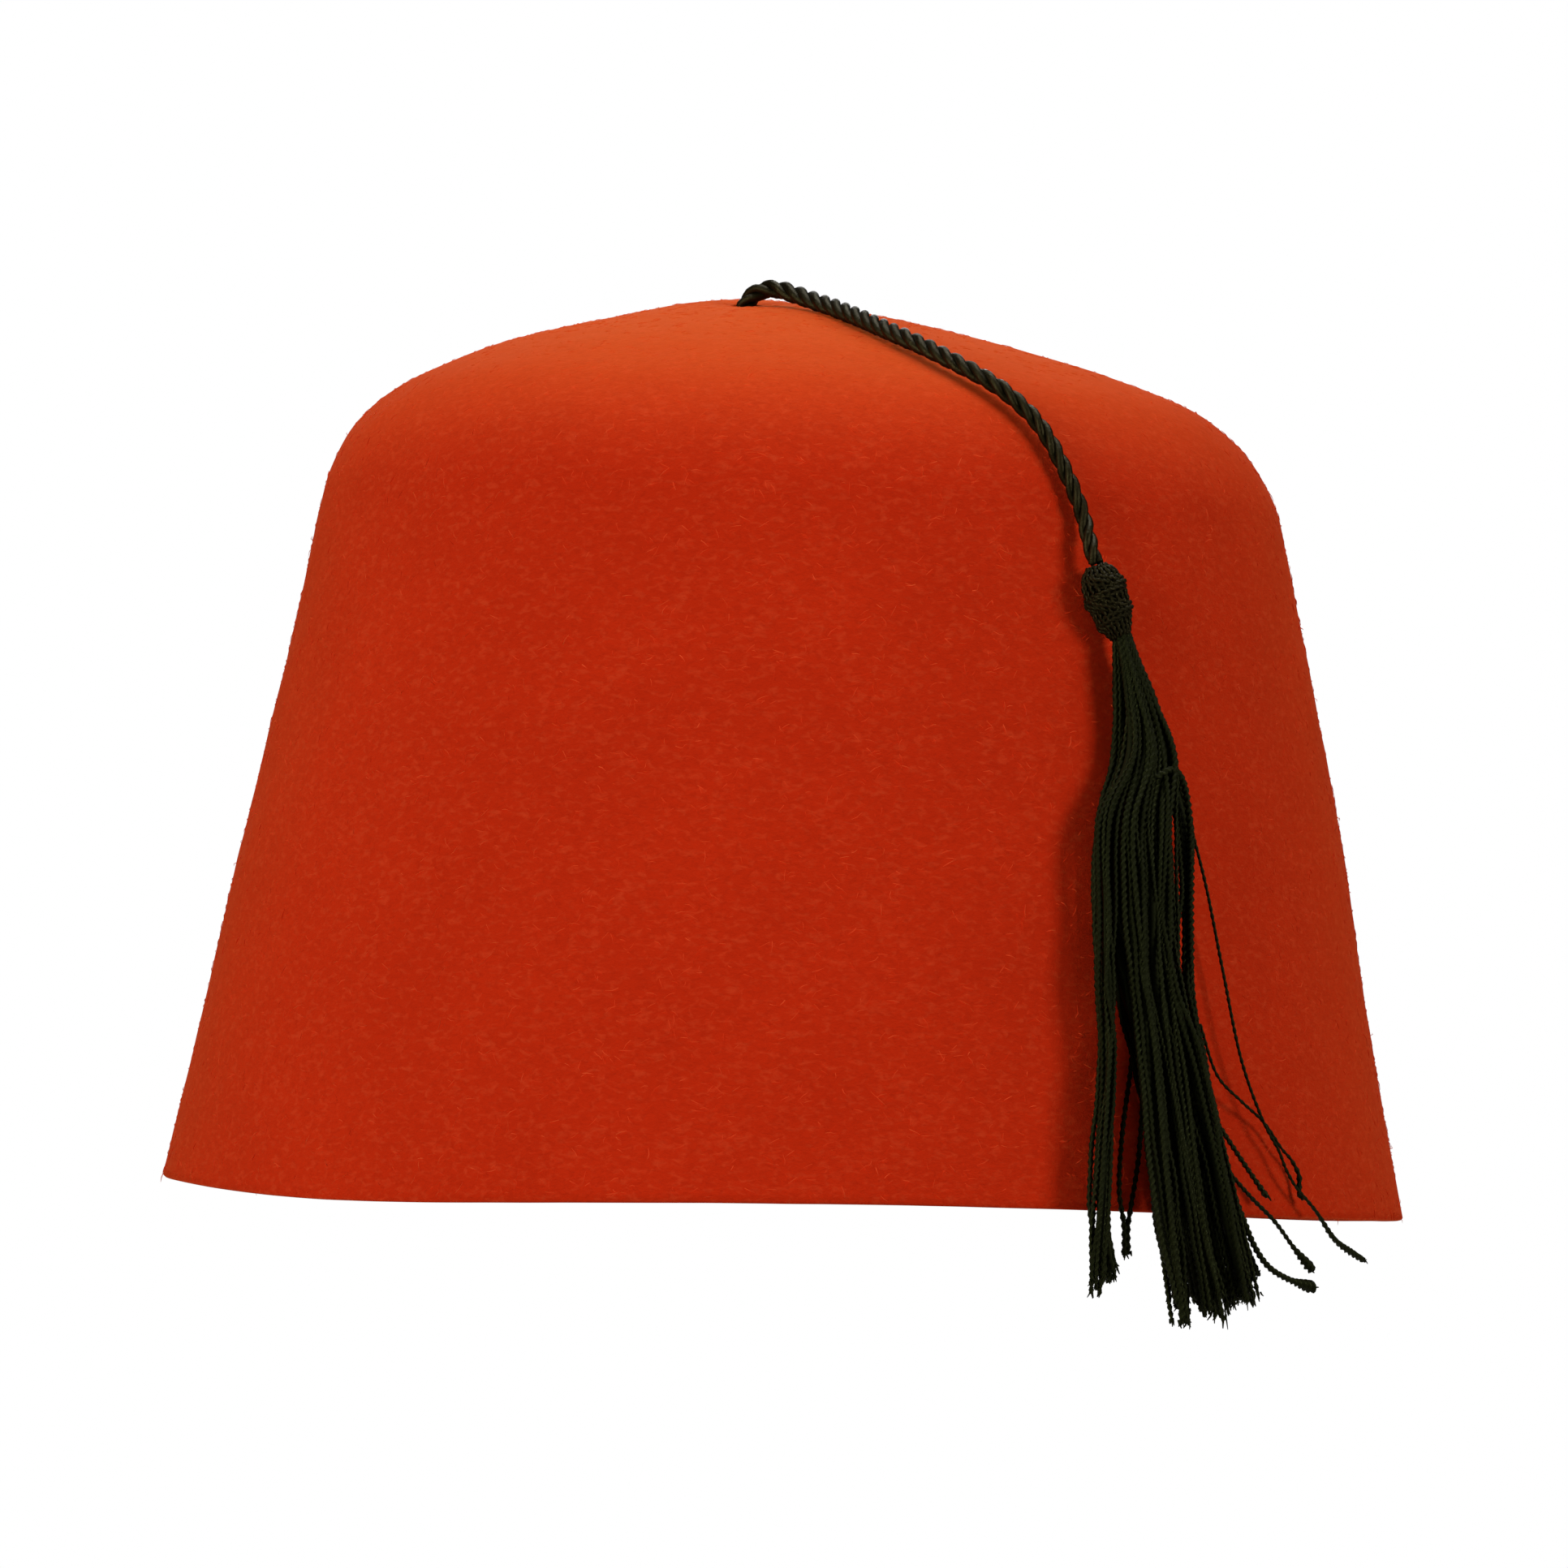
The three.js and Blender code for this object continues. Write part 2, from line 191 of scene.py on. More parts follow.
# The tassel's head: its form, as distance along and width in shares, the share of that width that its
# core fills, and two strands of threads that are woven round it in opposite directions.
HEAD_TOP = (42.4, -66.2, 95.2)
HEAD_FOOT = (46.3, -66.3, 85.0)
HEAD_FORM = (
    ("top", 0.0, 0.5),
    ("upper", 0.1, 0.84),
    ("shoulder", 0.26, 1.0),
    ("middle", 0.48, 1.0),
    ("lower", 0.72, 0.9),
    ("end", 0.9, 0.68),
    ("foot", 1.0, 0.5),
)
HEAD_CORE = 0.93
HEAD_CORE_THREADS = 18
HEAD_THREAD = 0.8
HEAD_CORE_TURN = 0.7
HEAD_TINT = 1.7
WRAP_RADIUS = 1.3
WRAP_TURNS = 2.2
WRAP_START = 183.0
WRAP_FROM = 0.14
WRAP_TO = 0.86
WRAP_WEAVE = 0.16
WRAP_THREADS = 8
WRAP_PITCH = 17.0

# A strand sinks into the head over this share of its length at each end, to this share of its distance
# out. Then come the rings and sides of the head's threads, its strands and its filling.
WRAP_SINK = 0.1
WRAP_SUNK = 0.45
HEAD_RINGS = 60
WRAP_RINGS = 130
HEAD_SIDES = 8
FILLER_SIDES = 12

# A pitch so long that a filling shows no twist.
UNTWISTED = 1000.0

# The skirt's stations down the wall: height, share of a lock's girth, and how far the middles of the
# back, core and front layers stand off the felt. The first lies under the head.
SKIRT_AZIMUTH = -55.0
STATIONS = (
    ("bound", 86.0, 0.30, 3.3, 3.7, 4.1),
    ("neck", 82.6, 0.40, 3.1, 3.9, 4.7),
    ("throat", 76.0, 0.58, 2.3, 3.7, 5.0),
    ("chest", 68.0, 0.82, 2.5, 4.0, 5.4),
    ("waist", 58.0, 1.0, 2.8, 4.3, 5.8),
    ("middle", 45.0, 1.0, 2.8, 4.3, 5.8),
    ("swing", 34.0, 1.0, 2.8, 4.3, 5.7),
    ("low", 23.0, 1.0, 2.8, 4.2, 5.6),
    ("rim", 2.0, 1.1, 2.8, 4.1, 5.4),
)
END_SHARE = 1.35
BACK, CORE, FRONT = 3, 4, 5

# The locks: layer, girth, distance to the right of the skirt's azimuth at each station and at the cut
# end, and the height of that end.
LOCKS = (
    ("hank front", FRONT, 2.8, (-0.4, -0.7, -0.6, -1.8, -7.2, -8.6, -9.2, -10.0, -13.2, -14.0), -12.5),
    ("left front", FRONT, 4.6, (-0.2, -0.3, 0.8, 1.0, -3.2, -4.2, -4.0, -3.2, -2.5, 0.5), -15.6),
    ("middle front", FRONT, 4.6, (0.2, 0.4, 2.0, 3.0, 0.0, -0.6, -0.6, 0.2, 2.4, 6.4), -15.2),
    ("right front", FRONT, 4.4, (0.5, 0.9, 3.0, 4.6, 2.5, 1.9, 1.8, 4.6, 9.0, 13.0), -13.4),
    ("hank back", BACK, 2.8, (-0.4, -0.7, -0.6, -1.4, -5.8, -7.0, -7.8, -8.6, -11.2, -9.8), -11.6),
    ("left back", BACK, 4.4, (-0.2, -0.3, 0.6, 0.6, -2.8, -4.2, -4.2, -1.8, 1.6, 5.6), -14.8),
    ("middle back", BACK, 4.4, (0.2, 0.3, 2.0, 3.0, 1.0, 0.8, 1.0, 1.8, 5.2, 11.2), -14.6),
    ("right back", BACK, 4.2, (0.5, 0.9, 3.0, 5.0, 3.6, 3.4, 3.4, 6.4, 11.0, 15.6), -13.6),
    ("hank core", CORE, 2.4, (-0.2, -0.5, 0.0, -0.8, -6.0, -7.2, -8.2, -9.2, -12.4, -12.4), -11.9),
    ("left core", CORE, 3.0, (0.0, 0.0, 1.4, 2.0, -1.6, -2.2, -1.8, -0.8, 1.4, 5.0), -14.8),
    ("right core", CORE, 3.0, (0.3, 0.6, 2.6, 4.2, 2.2, 1.8, 2.0, 5.2, 10.0, 13.4), -13.8),
    ("side strand", BACK, 2.2, (0.5, 1.1, 4.0, 7.4, 9.6, 8.6, 8.0, 9.0, 12.4, 17.0), -10.4),
)

# The skirt's pieces: the locks of each, and the rings and sides of its threads.
SKIRT_PIECES = (
    ("skirt_front_left", ("hank front", "left front"), 330, 8),
    ("skirt_front_middle", ("middle front",), 330, 8),
    ("skirt_front_right", ("right front", "side strand"), 330, 8),
    ("skirt_back", ("hank back", "left back", "middle back", "right back"), 190, 6),
)

# A thread: its two yarns' mean radius and how far they stand out as shares of its own, spread of its
# pitch, tints, the painted shade in the hollows of its twist as the share of the crowns' tint left there,
# widths as shares of the usual one, and the taper of its last rings.
YARN_MEAN = 0.83
YARN_OUT = 0.24
PITCH_SPREAD = (0.88, 1.12)
THREAD_TINTS = (0.2, 1.0)
HOLLOW_SHADE = 0.1
THREAD_WIDTHS = (0.78, 1.1)
THREAD_TAPER = (1.0, 1.02, 1.0, 0.92, 0.8, 0.55)

# The threads of a lock: distance between them as a share of their width, unevenness of it, turn of the
# lock and of each thread in radians, distances from the lock's middle as shares, the share of girth from
# which they wander, the share of that wander that moves them off the felt, and the least distance off the
# felt, as a share of a thread's width and a length on top of that.
LOCK_PACKING = 0.93
LOCK_UNEVEN = 0.3
LOCK_TURN = 0.9
LOCK_DEPTHS = (0.62, 1.06)
WANDER_FROM = 0.4
LIFT_WANDER = 0.5
LEAST_LIFT = (0.6, 0.3)

# At a cut end a few threads stick together: how many, how far they end short together and each alone, and
# how far they draw together.
CLUMP = 3
CLUMP_SHORT = (0.4, 4.4)
THREAD_SHORT = 1.0
CLUMP_DRAW = 0.4

# Small bends of a thread: how many on its length, how far, and the shares of its length where they set in.
WAVER_BENDS = (5, 11)
WAVER_REACH = (0.03, 0.2)
WAVER_START = (0.05, 0.3)

# The fibres of a frayed end: spread, lengths, how far back they start, scatter of their roots, radii,
# taper, tints, and how many rings back the thread's direction is read.
FRAY_SPREAD = 0.3
FRAY_LENGTHS = (0.4, 1.2)
FRAY_ROOT = 0.7
FRAY_SCATTER = 0.2
FRAY_RADII = (0.11, 0.2)
FRAY_TAPER = (1.0, 0.9, 0.45)
FRAY_TINTS = (0.2, 0.7)
FRAY_BACK = 8
FRAY_SIDES = 4

# The filling of a lock: share of its girth, least radius, share of that at its end, how far it ends
# short, its pitch, rings and sides.
FILLING_SHARE = 0.62
FILLING_LEAST = 0.3
FILLING_END = 0.7
FILLING_SHORT = 4.0
FILLING_PITCH = 40.0
FILLING_RINGS = 70
FILLING_SIDES = 10

# Threads that have left the skirt: radius at the start and at the end, then places as height, distance to
# the right of the skirt's azimuth and distance off the felt.
STRAYS = (
    ("long", 0.28, 0.6, (
        (58.0, 10.6, 3.0), (49.2, 12.5, 3.2), (36.8, 14.5, 3.2), (23.2, 17.0, 3.2),
        (14.6, 20.5, 3.4), (10.4, 23.7, 3.2), (7.9, 25.1, 3.0), (5.4, 27.3, 2.8),
        (4.2, 28.8, 2.8), (1.7, 31.9, 3.0), (-2.3, 36.3, 3.4), (-5.5, 44.7, 4.2),
    )),
    ("crossing", 0.26, 0.5, (
        (28.7, 8.7, 3.4), (21.2, 11.7, 3.0), (17.5, 16.6, 2.8), (14.5, 21.6, 2.4),
        (10.8, 25.2, 2.4), (9.1, 27.4, 2.4), (6.8, 28.9, 2.4), (4.6, 29.0, 2.0),
        (3.4, 29.8, 2.0),
    )),
    ("short", 0.4, 0.5, (
        (17.0, 7.5, 4.4), (14.2, 10.1, 4.0), (9.7, 14.3, 3.4), (6.4, 17.4, 3.2),
        (3.7, 19.9, 3.2),
    )),
    ("knobbed", 0.36, 0.8, (
        (11.0, 8.4, 4.4), (7.8, 10.9, 4.2), (3.8, 15.5, 4.0), (0.2, 20.4, 4.0),
        (-3.9, 25.0, 4.4), (-6.9, 29.0, 4.8),
    )),
    ("curled", 0.5, 0.95, (
        (4.0, 11.6, 4.6), (0.0, 13.5, 4.4), (-3.4, 15.7, 4.4), (-6.3, 18.6, 4.6),
        (-8.1, 22.8, 4.8), (-9.4, 29.3, 5.0),
    )),
    ("fork left", 0.42, 0.48, (
        (30.0, -3.0, 2.6), (23.8, -3.7, 2.4), (12.0, -6.5, 2.2), (3.8, -7.6, 2.0),
        (-1.1, -7.1, 2.0), (-5.5, -6.9, 2.0),
    )),
    ("fork right", 0.42, 0.48, (
        (26.0, -1.6, 2.6), (19.2, -2.2, 2.4), (8.6, -4.0, 2.2), (1.5, -5.9, 2.0),
        (-1.3, -6.5, 2.0), (-5.1, -6.3, 2.0),
    )),
    ("band", 0.6, 0.45, (
        (64.2, 0.9, 6.4), (64.8, 2.3, 7.0), (65.6, 4.1, 7.0), (65.2, 6.6, 6.0),
        (63.3, 8.4, 5.0), (58.6, 9.5, 4.2), (52.6, 9.2, 4.0), (45.5, 8.6, 3.6),
        (38.0, 8.1, 3.2), (30.0, 7.8, 2.6),
    )),
    ("inner", 0.45, 0.45, (
        (64.0, 7.2, 3.2), (59.7, 7.7, 3.0), (54.4, 7.9, 3.0), (47.8, 7.7, 3.0),
        (40.6, 5.7, 3.0), (28.8, 5.8, 3.0),
    )),
)
STRAY_RINGS = 150
STRAY_SIDES = 8
STRAY_SWELL = (0.75, 0.97)
STRAY_TAPER = (0.95, 0.8, 0.5)

# The camera of the photograph, with the picture's side in pixels and its roll in degrees.
CAMERA_PLACE = (0.0, -1600.0, 26.0)
CAMERA_AIM = (-2.28, 0.0, 63.2)
CAMERA_ROLL = 2.0696
PICTURE_SIDE = 1932
PICTURE_MM_PER_PIXEL = 0.1241
SENSOR = 36.0
CAMERA_FAR = 20.0

# The studio's softboxes: azimuth and elevation in degrees, distance and side in metres.
SOFTBOXES = (
    ("left_box", "left_light", -135.0, 14.0, 1.5, 0.9),
    ("right_box", "right_light", -28.0, 18.0, 1.4, 0.5),
    ("top_box", "top_light", 88.0, 80.0, 1.3, 0.9),
    ("back_box", "back_light", 90.0, 20.0, 1.6, 0.8),
)
LIGHT_AIM = (0.0, 0.0, 70.0)

# The floor's inner and outer radius in metres, its grid, and the distances where its paper starts to thin
# out and is gone.
FLOOR_REACH = (0.1, 1.6)
FLOOR_ROWS = 12
FLOOR_COLUMNS = 64
PAPER_FADE = (0.45, 1.3)


def linear(code):
    """An sRGB hex colour as linear red, green, blue and alpha."""
    parts = [int(code[k:k + 2], 16) / 255 for k in (1, 3, 5)]
    low = [part / 12.92 for part in parts]
    high = [((part + 0.055) / 1.055) ** 2.4 for part in parts]
    return tuple(a if part <= 0.04045 else b for part, a, b in zip(parts, low, high)) + (1.0,)


def colour(name, description, code):
    """A colour property whose default is an sRGB hex colour."""
    return FloatVectorProperty(
        name=name, description=description, default=linear(code), size=4, subtype="COLOR", min=0, max=1
    )


def length(name, description, millimetres):
    """A length property whose default is given in millimetres."""
    return FloatProperty(name=name, description=description, default=millimetres * MM, min=0, unit="LENGTH")


def power(name, description, watts):
    """A light's power in watts."""
    return FloatProperty(name=name, description=description, default=watts, min=0, subtype="POWER")


class FeltSettings(bpy.types.PropertyGroup):
    """Sizes and colours of the felt."""

    head: length("Head circumference", "Round the head that the fez fits", 580)
    thickness: length("Thickness", "Thickness of the felt", 2.2)
    height: length("Crown height", "From the rim to the peak", 137.2)
    fleck: length("Fleck", "Size of the fibre flecks", 1.3)
    cloud: length("Cloud", "Size of the uneven patches in the dye", 20)
    nap: IntProperty(name="Nap fibres", description="Loose fibres on the felt", default=10500, min=0)
    nap_length: length("Nap length", "Usual length of a loose fibre", 1.7)
    ground: colour("Ground", "Main dye of the felt", "#CB2B0A")
    deep: colour("Deep", "Felt where the fibres lie dense", "#B92407")
    pale: colour("Pale", "Loose fibres that took less dye", "#E4532A")
    painted_top_highlight: colour("Faded", "Felt of the top, which takes most of the sun", "#DA501C")
    # painted highlight: the light and sheen on the top, painted in as a lighter and more orange felt
    bloom: colour("Bloom", "Light caught by the upright fibre ends", "#FFA245")


class CordSettings(bpy.types.PropertyGroup):
    """Sizes and colours of the cord."""

    diameter: length("Diameter", "Across the twisted cord", 2.8)
    pitch: length("Pitch", "Length of one full turn of a ply", 9.4)
    # on the head knot's threads this colour fills the hollows of the twist as painted shade
    shade: colour("Shade", "Dyed cord in the hollows", "#060502")
    light: colour("Light", "Dyed cord on the crowns of the plies", "#120E05")
    gloss: colour("Gloss", "Tint of the dull shine", "#FFEC98")


class TasselSettings(bpy.types.PropertyGroup):
    """Sizes and colours of the tassel."""

    head_width: length("Head width", "Across the knot at the top", 7.0)
    thread: length("Thread", "Diameter of one thread", 0.88)
    pitch: length("Pitch", "Length of one full turn of a thread", 2.3)
    wander: length("Wander", "How far a thread strays from its lock", 0.5)
    fray: IntProperty(name="Fray", description="Loose fibres at each cut end", default=5, min=0)
    # in the hollows of the twist and on the locks' inner threads this colour is painted shade
    shade: colour("Shade", "Dyed thread in the hollows", "#020201")
    light: colour("Light", "Dyed thread on the crowns", "#131407")
    gloss: colour("Gloss", "Tint of the dull shine", "#F0FF98")


class StageSettings(bpy.types.PropertyGroup):
    """Floor and lights of the studio."""

    drop: length("Floor drop", "Floor below the rim", 260)
    floor: colour("Floor", "Paper on the floor", "#C6C4C0")
    left_light: power("Left", "Softbox on the left", 15.5)
    right_light: power("Right", "Softbox on the right", 8.4)
    top_light: power("Top", "Softbox above", 12)
    back_light: power("Back", "Softbox behind", 6)


def add_node(tree, kind, sockets=None, **settings):
    """Adds a node. A socket given another node's output is linked, and any other value is set on it."""
    made = tree.nodes.new(kind)
    for name, value in settings.items():
        setattr(made, name, value)
    for key, value in (sockets or {}).items():
        if isinstance(value, bpy.types.NodeSocket):
            tree.links.new(value, made.inputs[key])
        else:
            made.inputs[key].default_value = value
    return made


def blank_material(name):
    """A new material and its empty node tree."""
    material = bpy.data.materials.new(name)
    material.use_nodes = True
    material.node_tree.nodes.clear()
    return material, material.node_tree


def spline(points, place):
    """Points on a centripetal curve through points; place counts spans from the first point."""
    points = np.asarray(points, float)
    place = np.asarray(place, float)
    padded = np.vstack([2 * points[:1] - points[1:2], points, 2 * points[-1:] - points[-2:-1]])
    span = np.clip(np.floor(place).astype(int), 0, len(points) - 2)
    share = (place - span)[..., None]
    before, start, end, after = (padded[span + k] for k in range(4))
    first = np.linalg.norm(start - before, axis=-1, keepdims=True) ** 0.5
    middle = np.linalg.norm(end - start, axis=-1, keepdims=True) ** 0.5
    last = np.linalg.norm(after - end, axis=-1, keepdims=True) ** 0.5
    leave = ((start - before) / first - (end - before) / (first + middle) + (end - start) / middle) * middle
    arrive = ((end - start) / middle - (after - start) / (middle + last) + (after - end) / last) * middle
    square = 3 * (end - start) - 2 * leave - arrive
    cube = 2 * (start - end) + leave + arrive
    return start + leave * share + square * share**2 + cube * share**3


def even(line, count):
    """A line drawn again with count points at even distances."""
    steps = np.linalg.norm(np.diff(line, axis=0), axis=1)
    along = np.concatenate([[0], np.cumsum(steps)])
    wanted = np.linspace(0, along[-1], count)
    return np.stack([np.interp(wanted, along, line[:, k]) for k in range(line.shape[1])], -1)


def curve_through(points, count):
    """A smooth line of count even points through a few points."""
    fine = np.linspace(0, len(points) - 1, 40 * len(points))
    return even(spline(points, fine), count)


def line_length(line):
    """The length of a line of points."""
    return float(np.linalg.norm(np.diff(line, axis=0), axis=1).sum())


def unit(vectors):
    """Vectors scaled to length one."""
    return vectors / np.maximum(np.linalg.norm(vectors, axis=-1, keepdims=True), 1e-12)


def carried_frames(lines):
    """Two directions across each line of a batch, carried along it without twist."""
    ahead = unit(np.gradient(lines, axis=1))
    side = np.where(np.abs(ahead[:, :1, 2:]) < 0.9, [[[0.0, 0.0, 1.0]]], [[[1.0, 0.0, 0.0]]])
    normals = np.empty_like(lines)
    normal = side[:, 0]
    for k in range(lines.shape[1]):
        normal = unit(normal - (normal * ahead[:, k]).sum(-1, keepdims=True) * ahead[:, k])
        normals[:, k] = normal
    return normals, np.cross(ahead, normals)


def tubes(lines, radius, turn=0.0):
    """Closed tubes along a batch of lines. The last axis of radius runs round the tube; turn twists it."""
    count, rings, _ = lines.shape
    sides = radius.shape[-1]
    normals, binormals = carried_frames(lines)
    angle = 2 * np.pi * np.arange(sides) / sides + np.broadcast_to(turn, (count, rings))[..., None]
    around = np.cos(angle)[..., None] * normals[:, :, None]
    around = around + np.sin(angle)[..., None] * binormals[:, :, None]
    skin = lines[:, :, None] + radius[..., None] * around
    points = np.concatenate([skin.reshape(-1, 3), lines[:, 0], lines[:, -1]])
    spot = np.arange(count * rings * sides).reshape(count, rings, sides)
    beside = np.roll(spot, -1, axis=2)
    quads = np.stack([spot[:, :-1], beside[:, :-1], beside[:, 1:], spot[:, 1:]], -1).reshape(-1, 4)
    first = np.repeat((spot.size + np.arange(count))[:, None], sides, axis=1)
    last = first + count
    start_caps = np.stack([first, beside[:, 0], spot[:, 0]], -1).reshape(-1, 3)
    end_caps = np.stack([last, spot[:, -1], beside[:, -1]], -1).reshape(-1, 3)
    owner = np.concatenate([np.repeat(np.arange(count), rings * sides), np.arange(count), np.arange(count)])
    return points, quads, np.concatenate([start_caps, end_caps]), owner


def joined(parts):
    """Several (points, quads, triangles, tint) as one."""
    starts = np.cumsum([0] + [len(part[0]) for part in parts[:-1]])
    points = np.concatenate([part[0] for part in parts])
    quads = np.concatenate([part[1] + start for part, start in zip(parts, starts)])
    triangles = np.concatenate([part[2] + start for part, start in zip(parts, starts)])
    return points, quads, triangles, np.concatenate([part[3] for part in parts])


def make_piece(name, shape, material, slot, *nodes):
    """A smooth mesh piece on the root body from (points, quads, triangles, tint) in millimetres."""
    points, quads, triangles, tint = shape
    mesh = bpy.data.meshes.new(name)
    mesh.vertices.add(len(points))
    mesh.vertices.foreach_set("co", (points * MM).astype(np.float32).ravel())
    corners = np.concatenate([quads.ravel(), triangles.ravel()]).astype(np.int32)
    mesh.loops.add(len(corners))
    mesh.loops.foreach_set("vertex_index", corners)
    starts = np.concatenate([4 * np.arange(len(quads)), quads.size + 3 * np.arange(len(triangles))])
    mesh.polygons.add(len(starts))
    mesh.polygons.foreach_set("loop_start", starts.astype(np.int32))
    mesh.update(calc_edges=True)
    mesh.shade_smooth()
    values = mesh.attributes.new("tint", "FLOAT", "POINT")
    values.data.foreach_set("value", tint.astype(np.float32))
    mesh.materials.append(material)
    piece = bpy.data.objects.new(name, mesh)
    bpy.context.scene.collection.objects.link(piece)
    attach(piece, "root")
    if nodes:
        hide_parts(*nodes)
    return piece


def ripple(points, size, draws):
    """A smooth random field of about unit height over points, with swells about size across."""
    directions = unit(draws.normal(size=(SWELL_WAVES, 3)))
    pace = 2 * np.pi / (2 * size * draws.uniform(*SWELL_SIZES, SWELL_WAVES))
    phase = draws.uniform(0, 2 * np.pi, SWELL_WAVES)
    return np.sin(points @ (directions * pace[:, None]).T + phase).sum(-1) / math.sqrt(SWELL_WAVES / 2)


def top_highlight_share(tree, place):
    """How much painted highlight the felt takes: nothing on the wall, most on the top."""
    height = add_node(tree, "ShaderNodeSeparateXYZ", {"Vector": place}).outputs["Z"]
    return add_node(
        tree, "ShaderNodeMapRange",
        {"Value": height, "From Min": TOP_HIGHLIGHT_START * MM, "From Max": TOP_HIGHLIGHT_FULL * MM},
        interpolation_type="SMOOTHSTEP",
    ).outputs["Result"]


def blended(tree, share, first, second, most=1.0):
    """A colour between two, second where share is 1. Share is first cut down to most."""
    part = add_node(tree, "ShaderNodeMath", {0: share, 1: most}, operation="MULTIPLY").outputs["Value"]
    return add_node(tree, "ShaderNodeMix", {0: part, 6: first, 7: second}, data_type="RGBA").outputs[2]


def stretched(tree, value, low, high):
    """A value moved so that low becomes 0 and high becomes 1, and cut off there."""
    return add_node(
        tree, "ShaderNodeMapRange", {"Value": value, "From Min": low, "From Max": high}
    ).outputs["Result"]


def wool_shader(tree, felt, paint, normal=None):
    """Ends a wool material: dull, with a bloom of upright fibre ends towards its edges."""
    shader = add_node(
        tree, "ShaderNodeBsdfPrincipled",
        {
            "Base Color": paint, "Roughness": 0.95, "IOR": 1.54, "Specular IOR Level": 0.04,
            "Sheen Weight": 0.22, "Sheen Roughness": 0.4, "Sheen Tint": felt.bloom,
        },
    )
    if normal:
        tree.links.new(normal, shader.inputs["Normal"])
    add_node(tree, "ShaderNodeOutputMaterial", {"Surface": shader.outputs["BSDF"]})


def wool_felt(felt):
    """Wool felt, wetted, pressed over a block and dyed red. Its matted fibres give a dull surface with
    short flecks that lie mostly round the hat. Painted highlight makes the top lighter and more orange."""
    material, tree = blank_material("wool_felt_dyed_red")
    place = add_node(tree, "ShaderNodeTexCoord").outputs["Object"]
    lie = add_node(tree, "ShaderNodeMapping", {"Vector": place, "Scale": (1, 1, 1.8)}).outputs["Vector"]
    cloud = add_node(
        tree, "ShaderNodeTexNoise",
        {"Vector": place, "Scale": 1 / felt.cloud, "Detail": 3, "Roughness": 0.5},
    ).outputs["Fac"]
    fleck = add_node(
        tree, "ShaderNodeTexNoise",
        {"Vector": lie, "Scale": 1 / felt.fleck, "Detail": 4, "Roughness": 0.62, "Distortion": 0.9},
    ).outputs["Fac"]
    speck = add_node(
        tree, "ShaderNodeTexNoise",
        {"Vector": lie, "Scale": 1 / (1.2 * felt.fleck), "Detail": 2, "Roughness": 0.5, "Distortion": 0.6},
    ).outputs["Fac"]
    top_highlight = top_highlight_share(tree, place)
    ground = blended(tree, stretched(tree, cloud, 0.35, 0.65), felt.ground, felt.deep, most=0.3)
    # painted highlight on the top, for the light and sheen that fall there
    ground = blended(tree, top_highlight, ground, felt.painted_top_highlight, most=0.75)
    deep = blended(tree, top_highlight, felt.deep, felt.painted_top_highlight, most=0.5)
    shaded = blended(tree, stretched(tree, fleck, 0.55, 0.3), ground, deep, most=0.65)
    paint = blended(tree, stretched(tree, speck, 0.5, 0.75), shaded, felt.pale, most=0.28)
    # fibres are about 0.03 mm thick, so their relief is drawn as bundles several times coarser
    relief = add_node(
        tree, "ShaderNodeTexNoise",
        {
            "Vector": lie, "Scale": 1 / (0.55 * felt.fleck), "Detail": 5, "Roughness": 0.65,
            "Distortion": 1.2,
        },
    ).outputs["Fac"]
    bump = add_node(
        tree, "ShaderNodeBump", {"Height": relief, "Strength": 0.55, "Distance": 0.35 * MM}
    ).outputs["Normal"]
    wool_shader(tree, felt, paint, bump)
    return material


def wool_fibre(felt):
    """Loose wool fibres of the same dye. Some took less of it and show as short pale strokes."""
    material, tree = blank_material("wool_fibre_dyed_red")
    place = add_node(tree, "ShaderNodeTexCoord").outputs["Object"]
    tint = add_node(tree, "ShaderNodeAttribute", attribute_name="tint").outputs["Fac"]
    paint = blended(tree, tint, felt.ground, felt.pale)
    # the same painted highlight on the top as on the felt
    wool_shader(tree, felt, blended(tree, top_highlight_share(tree, place), paint, felt.painted_top_highlight, most=0.75))
    return material


def rayon_thread(name, settings):
    """Rayon spun, plied and dyed black. Painted shade darkens the hollows of the twist, so the crowns are a
    little lighter and greener, and their smooth filaments catch the light as small dull glints."""
    material, tree = blank_material(name)
    place = add_node(tree, "ShaderNodeTexCoord").outputs["Object"]
    tint = add_node(tree, "ShaderNodeAttribute", attribute_name="tint").outputs["Fac"]
    # single filaments are about 0.02 mm thick, so their streaks are drawn as bundles of 0.3 mm
    fibre = add_node(
        tree, "ShaderNodeTexNoise",
        {"Vector": place, "Scale": 1 / (0.3 * MM), "Detail": 3, "Roughness": 0.6, "Distortion": 0.5},
    ).outputs["Fac"]
    mix = add_node(tree, "ShaderNodeMath", {0: tint, 1: fibre}, operation="MULTIPLY").outputs["Value"]
    crown = stretched(tree, mix, 0.06, 0.5)
    paint = blended(tree, crown, settings.shade, settings.light)
    rough = add_node(
        tree, "ShaderNodeMapRange", {"Value": crown, "To Min": 0.7, "To Max": 0.29}
    ).outputs["Result"]
    bump = add_node(
        tree, "ShaderNodeBump", {"Height": fibre, "Strength": 0.9, "Distance": 0.12 * MM}
    ).outputs["Normal"]
    shader = add_node(
        tree, "ShaderNodeBsdfPrincipled",
        {
            "Base Color": paint, "Roughness": rough, "IOR": 1.53, "Specular IOR Level": 0.21,
            "Specular Tint": settings.gloss,
            "Sheen Weight": 0.03, "Sheen Roughness": 0.4, "Sheen Tint": settings.light, "Normal": bump,
        },
    )
    add_node(tree, "ShaderNodeOutputMaterial", {"Surface": shader.outputs["BSDF"]})
    return material


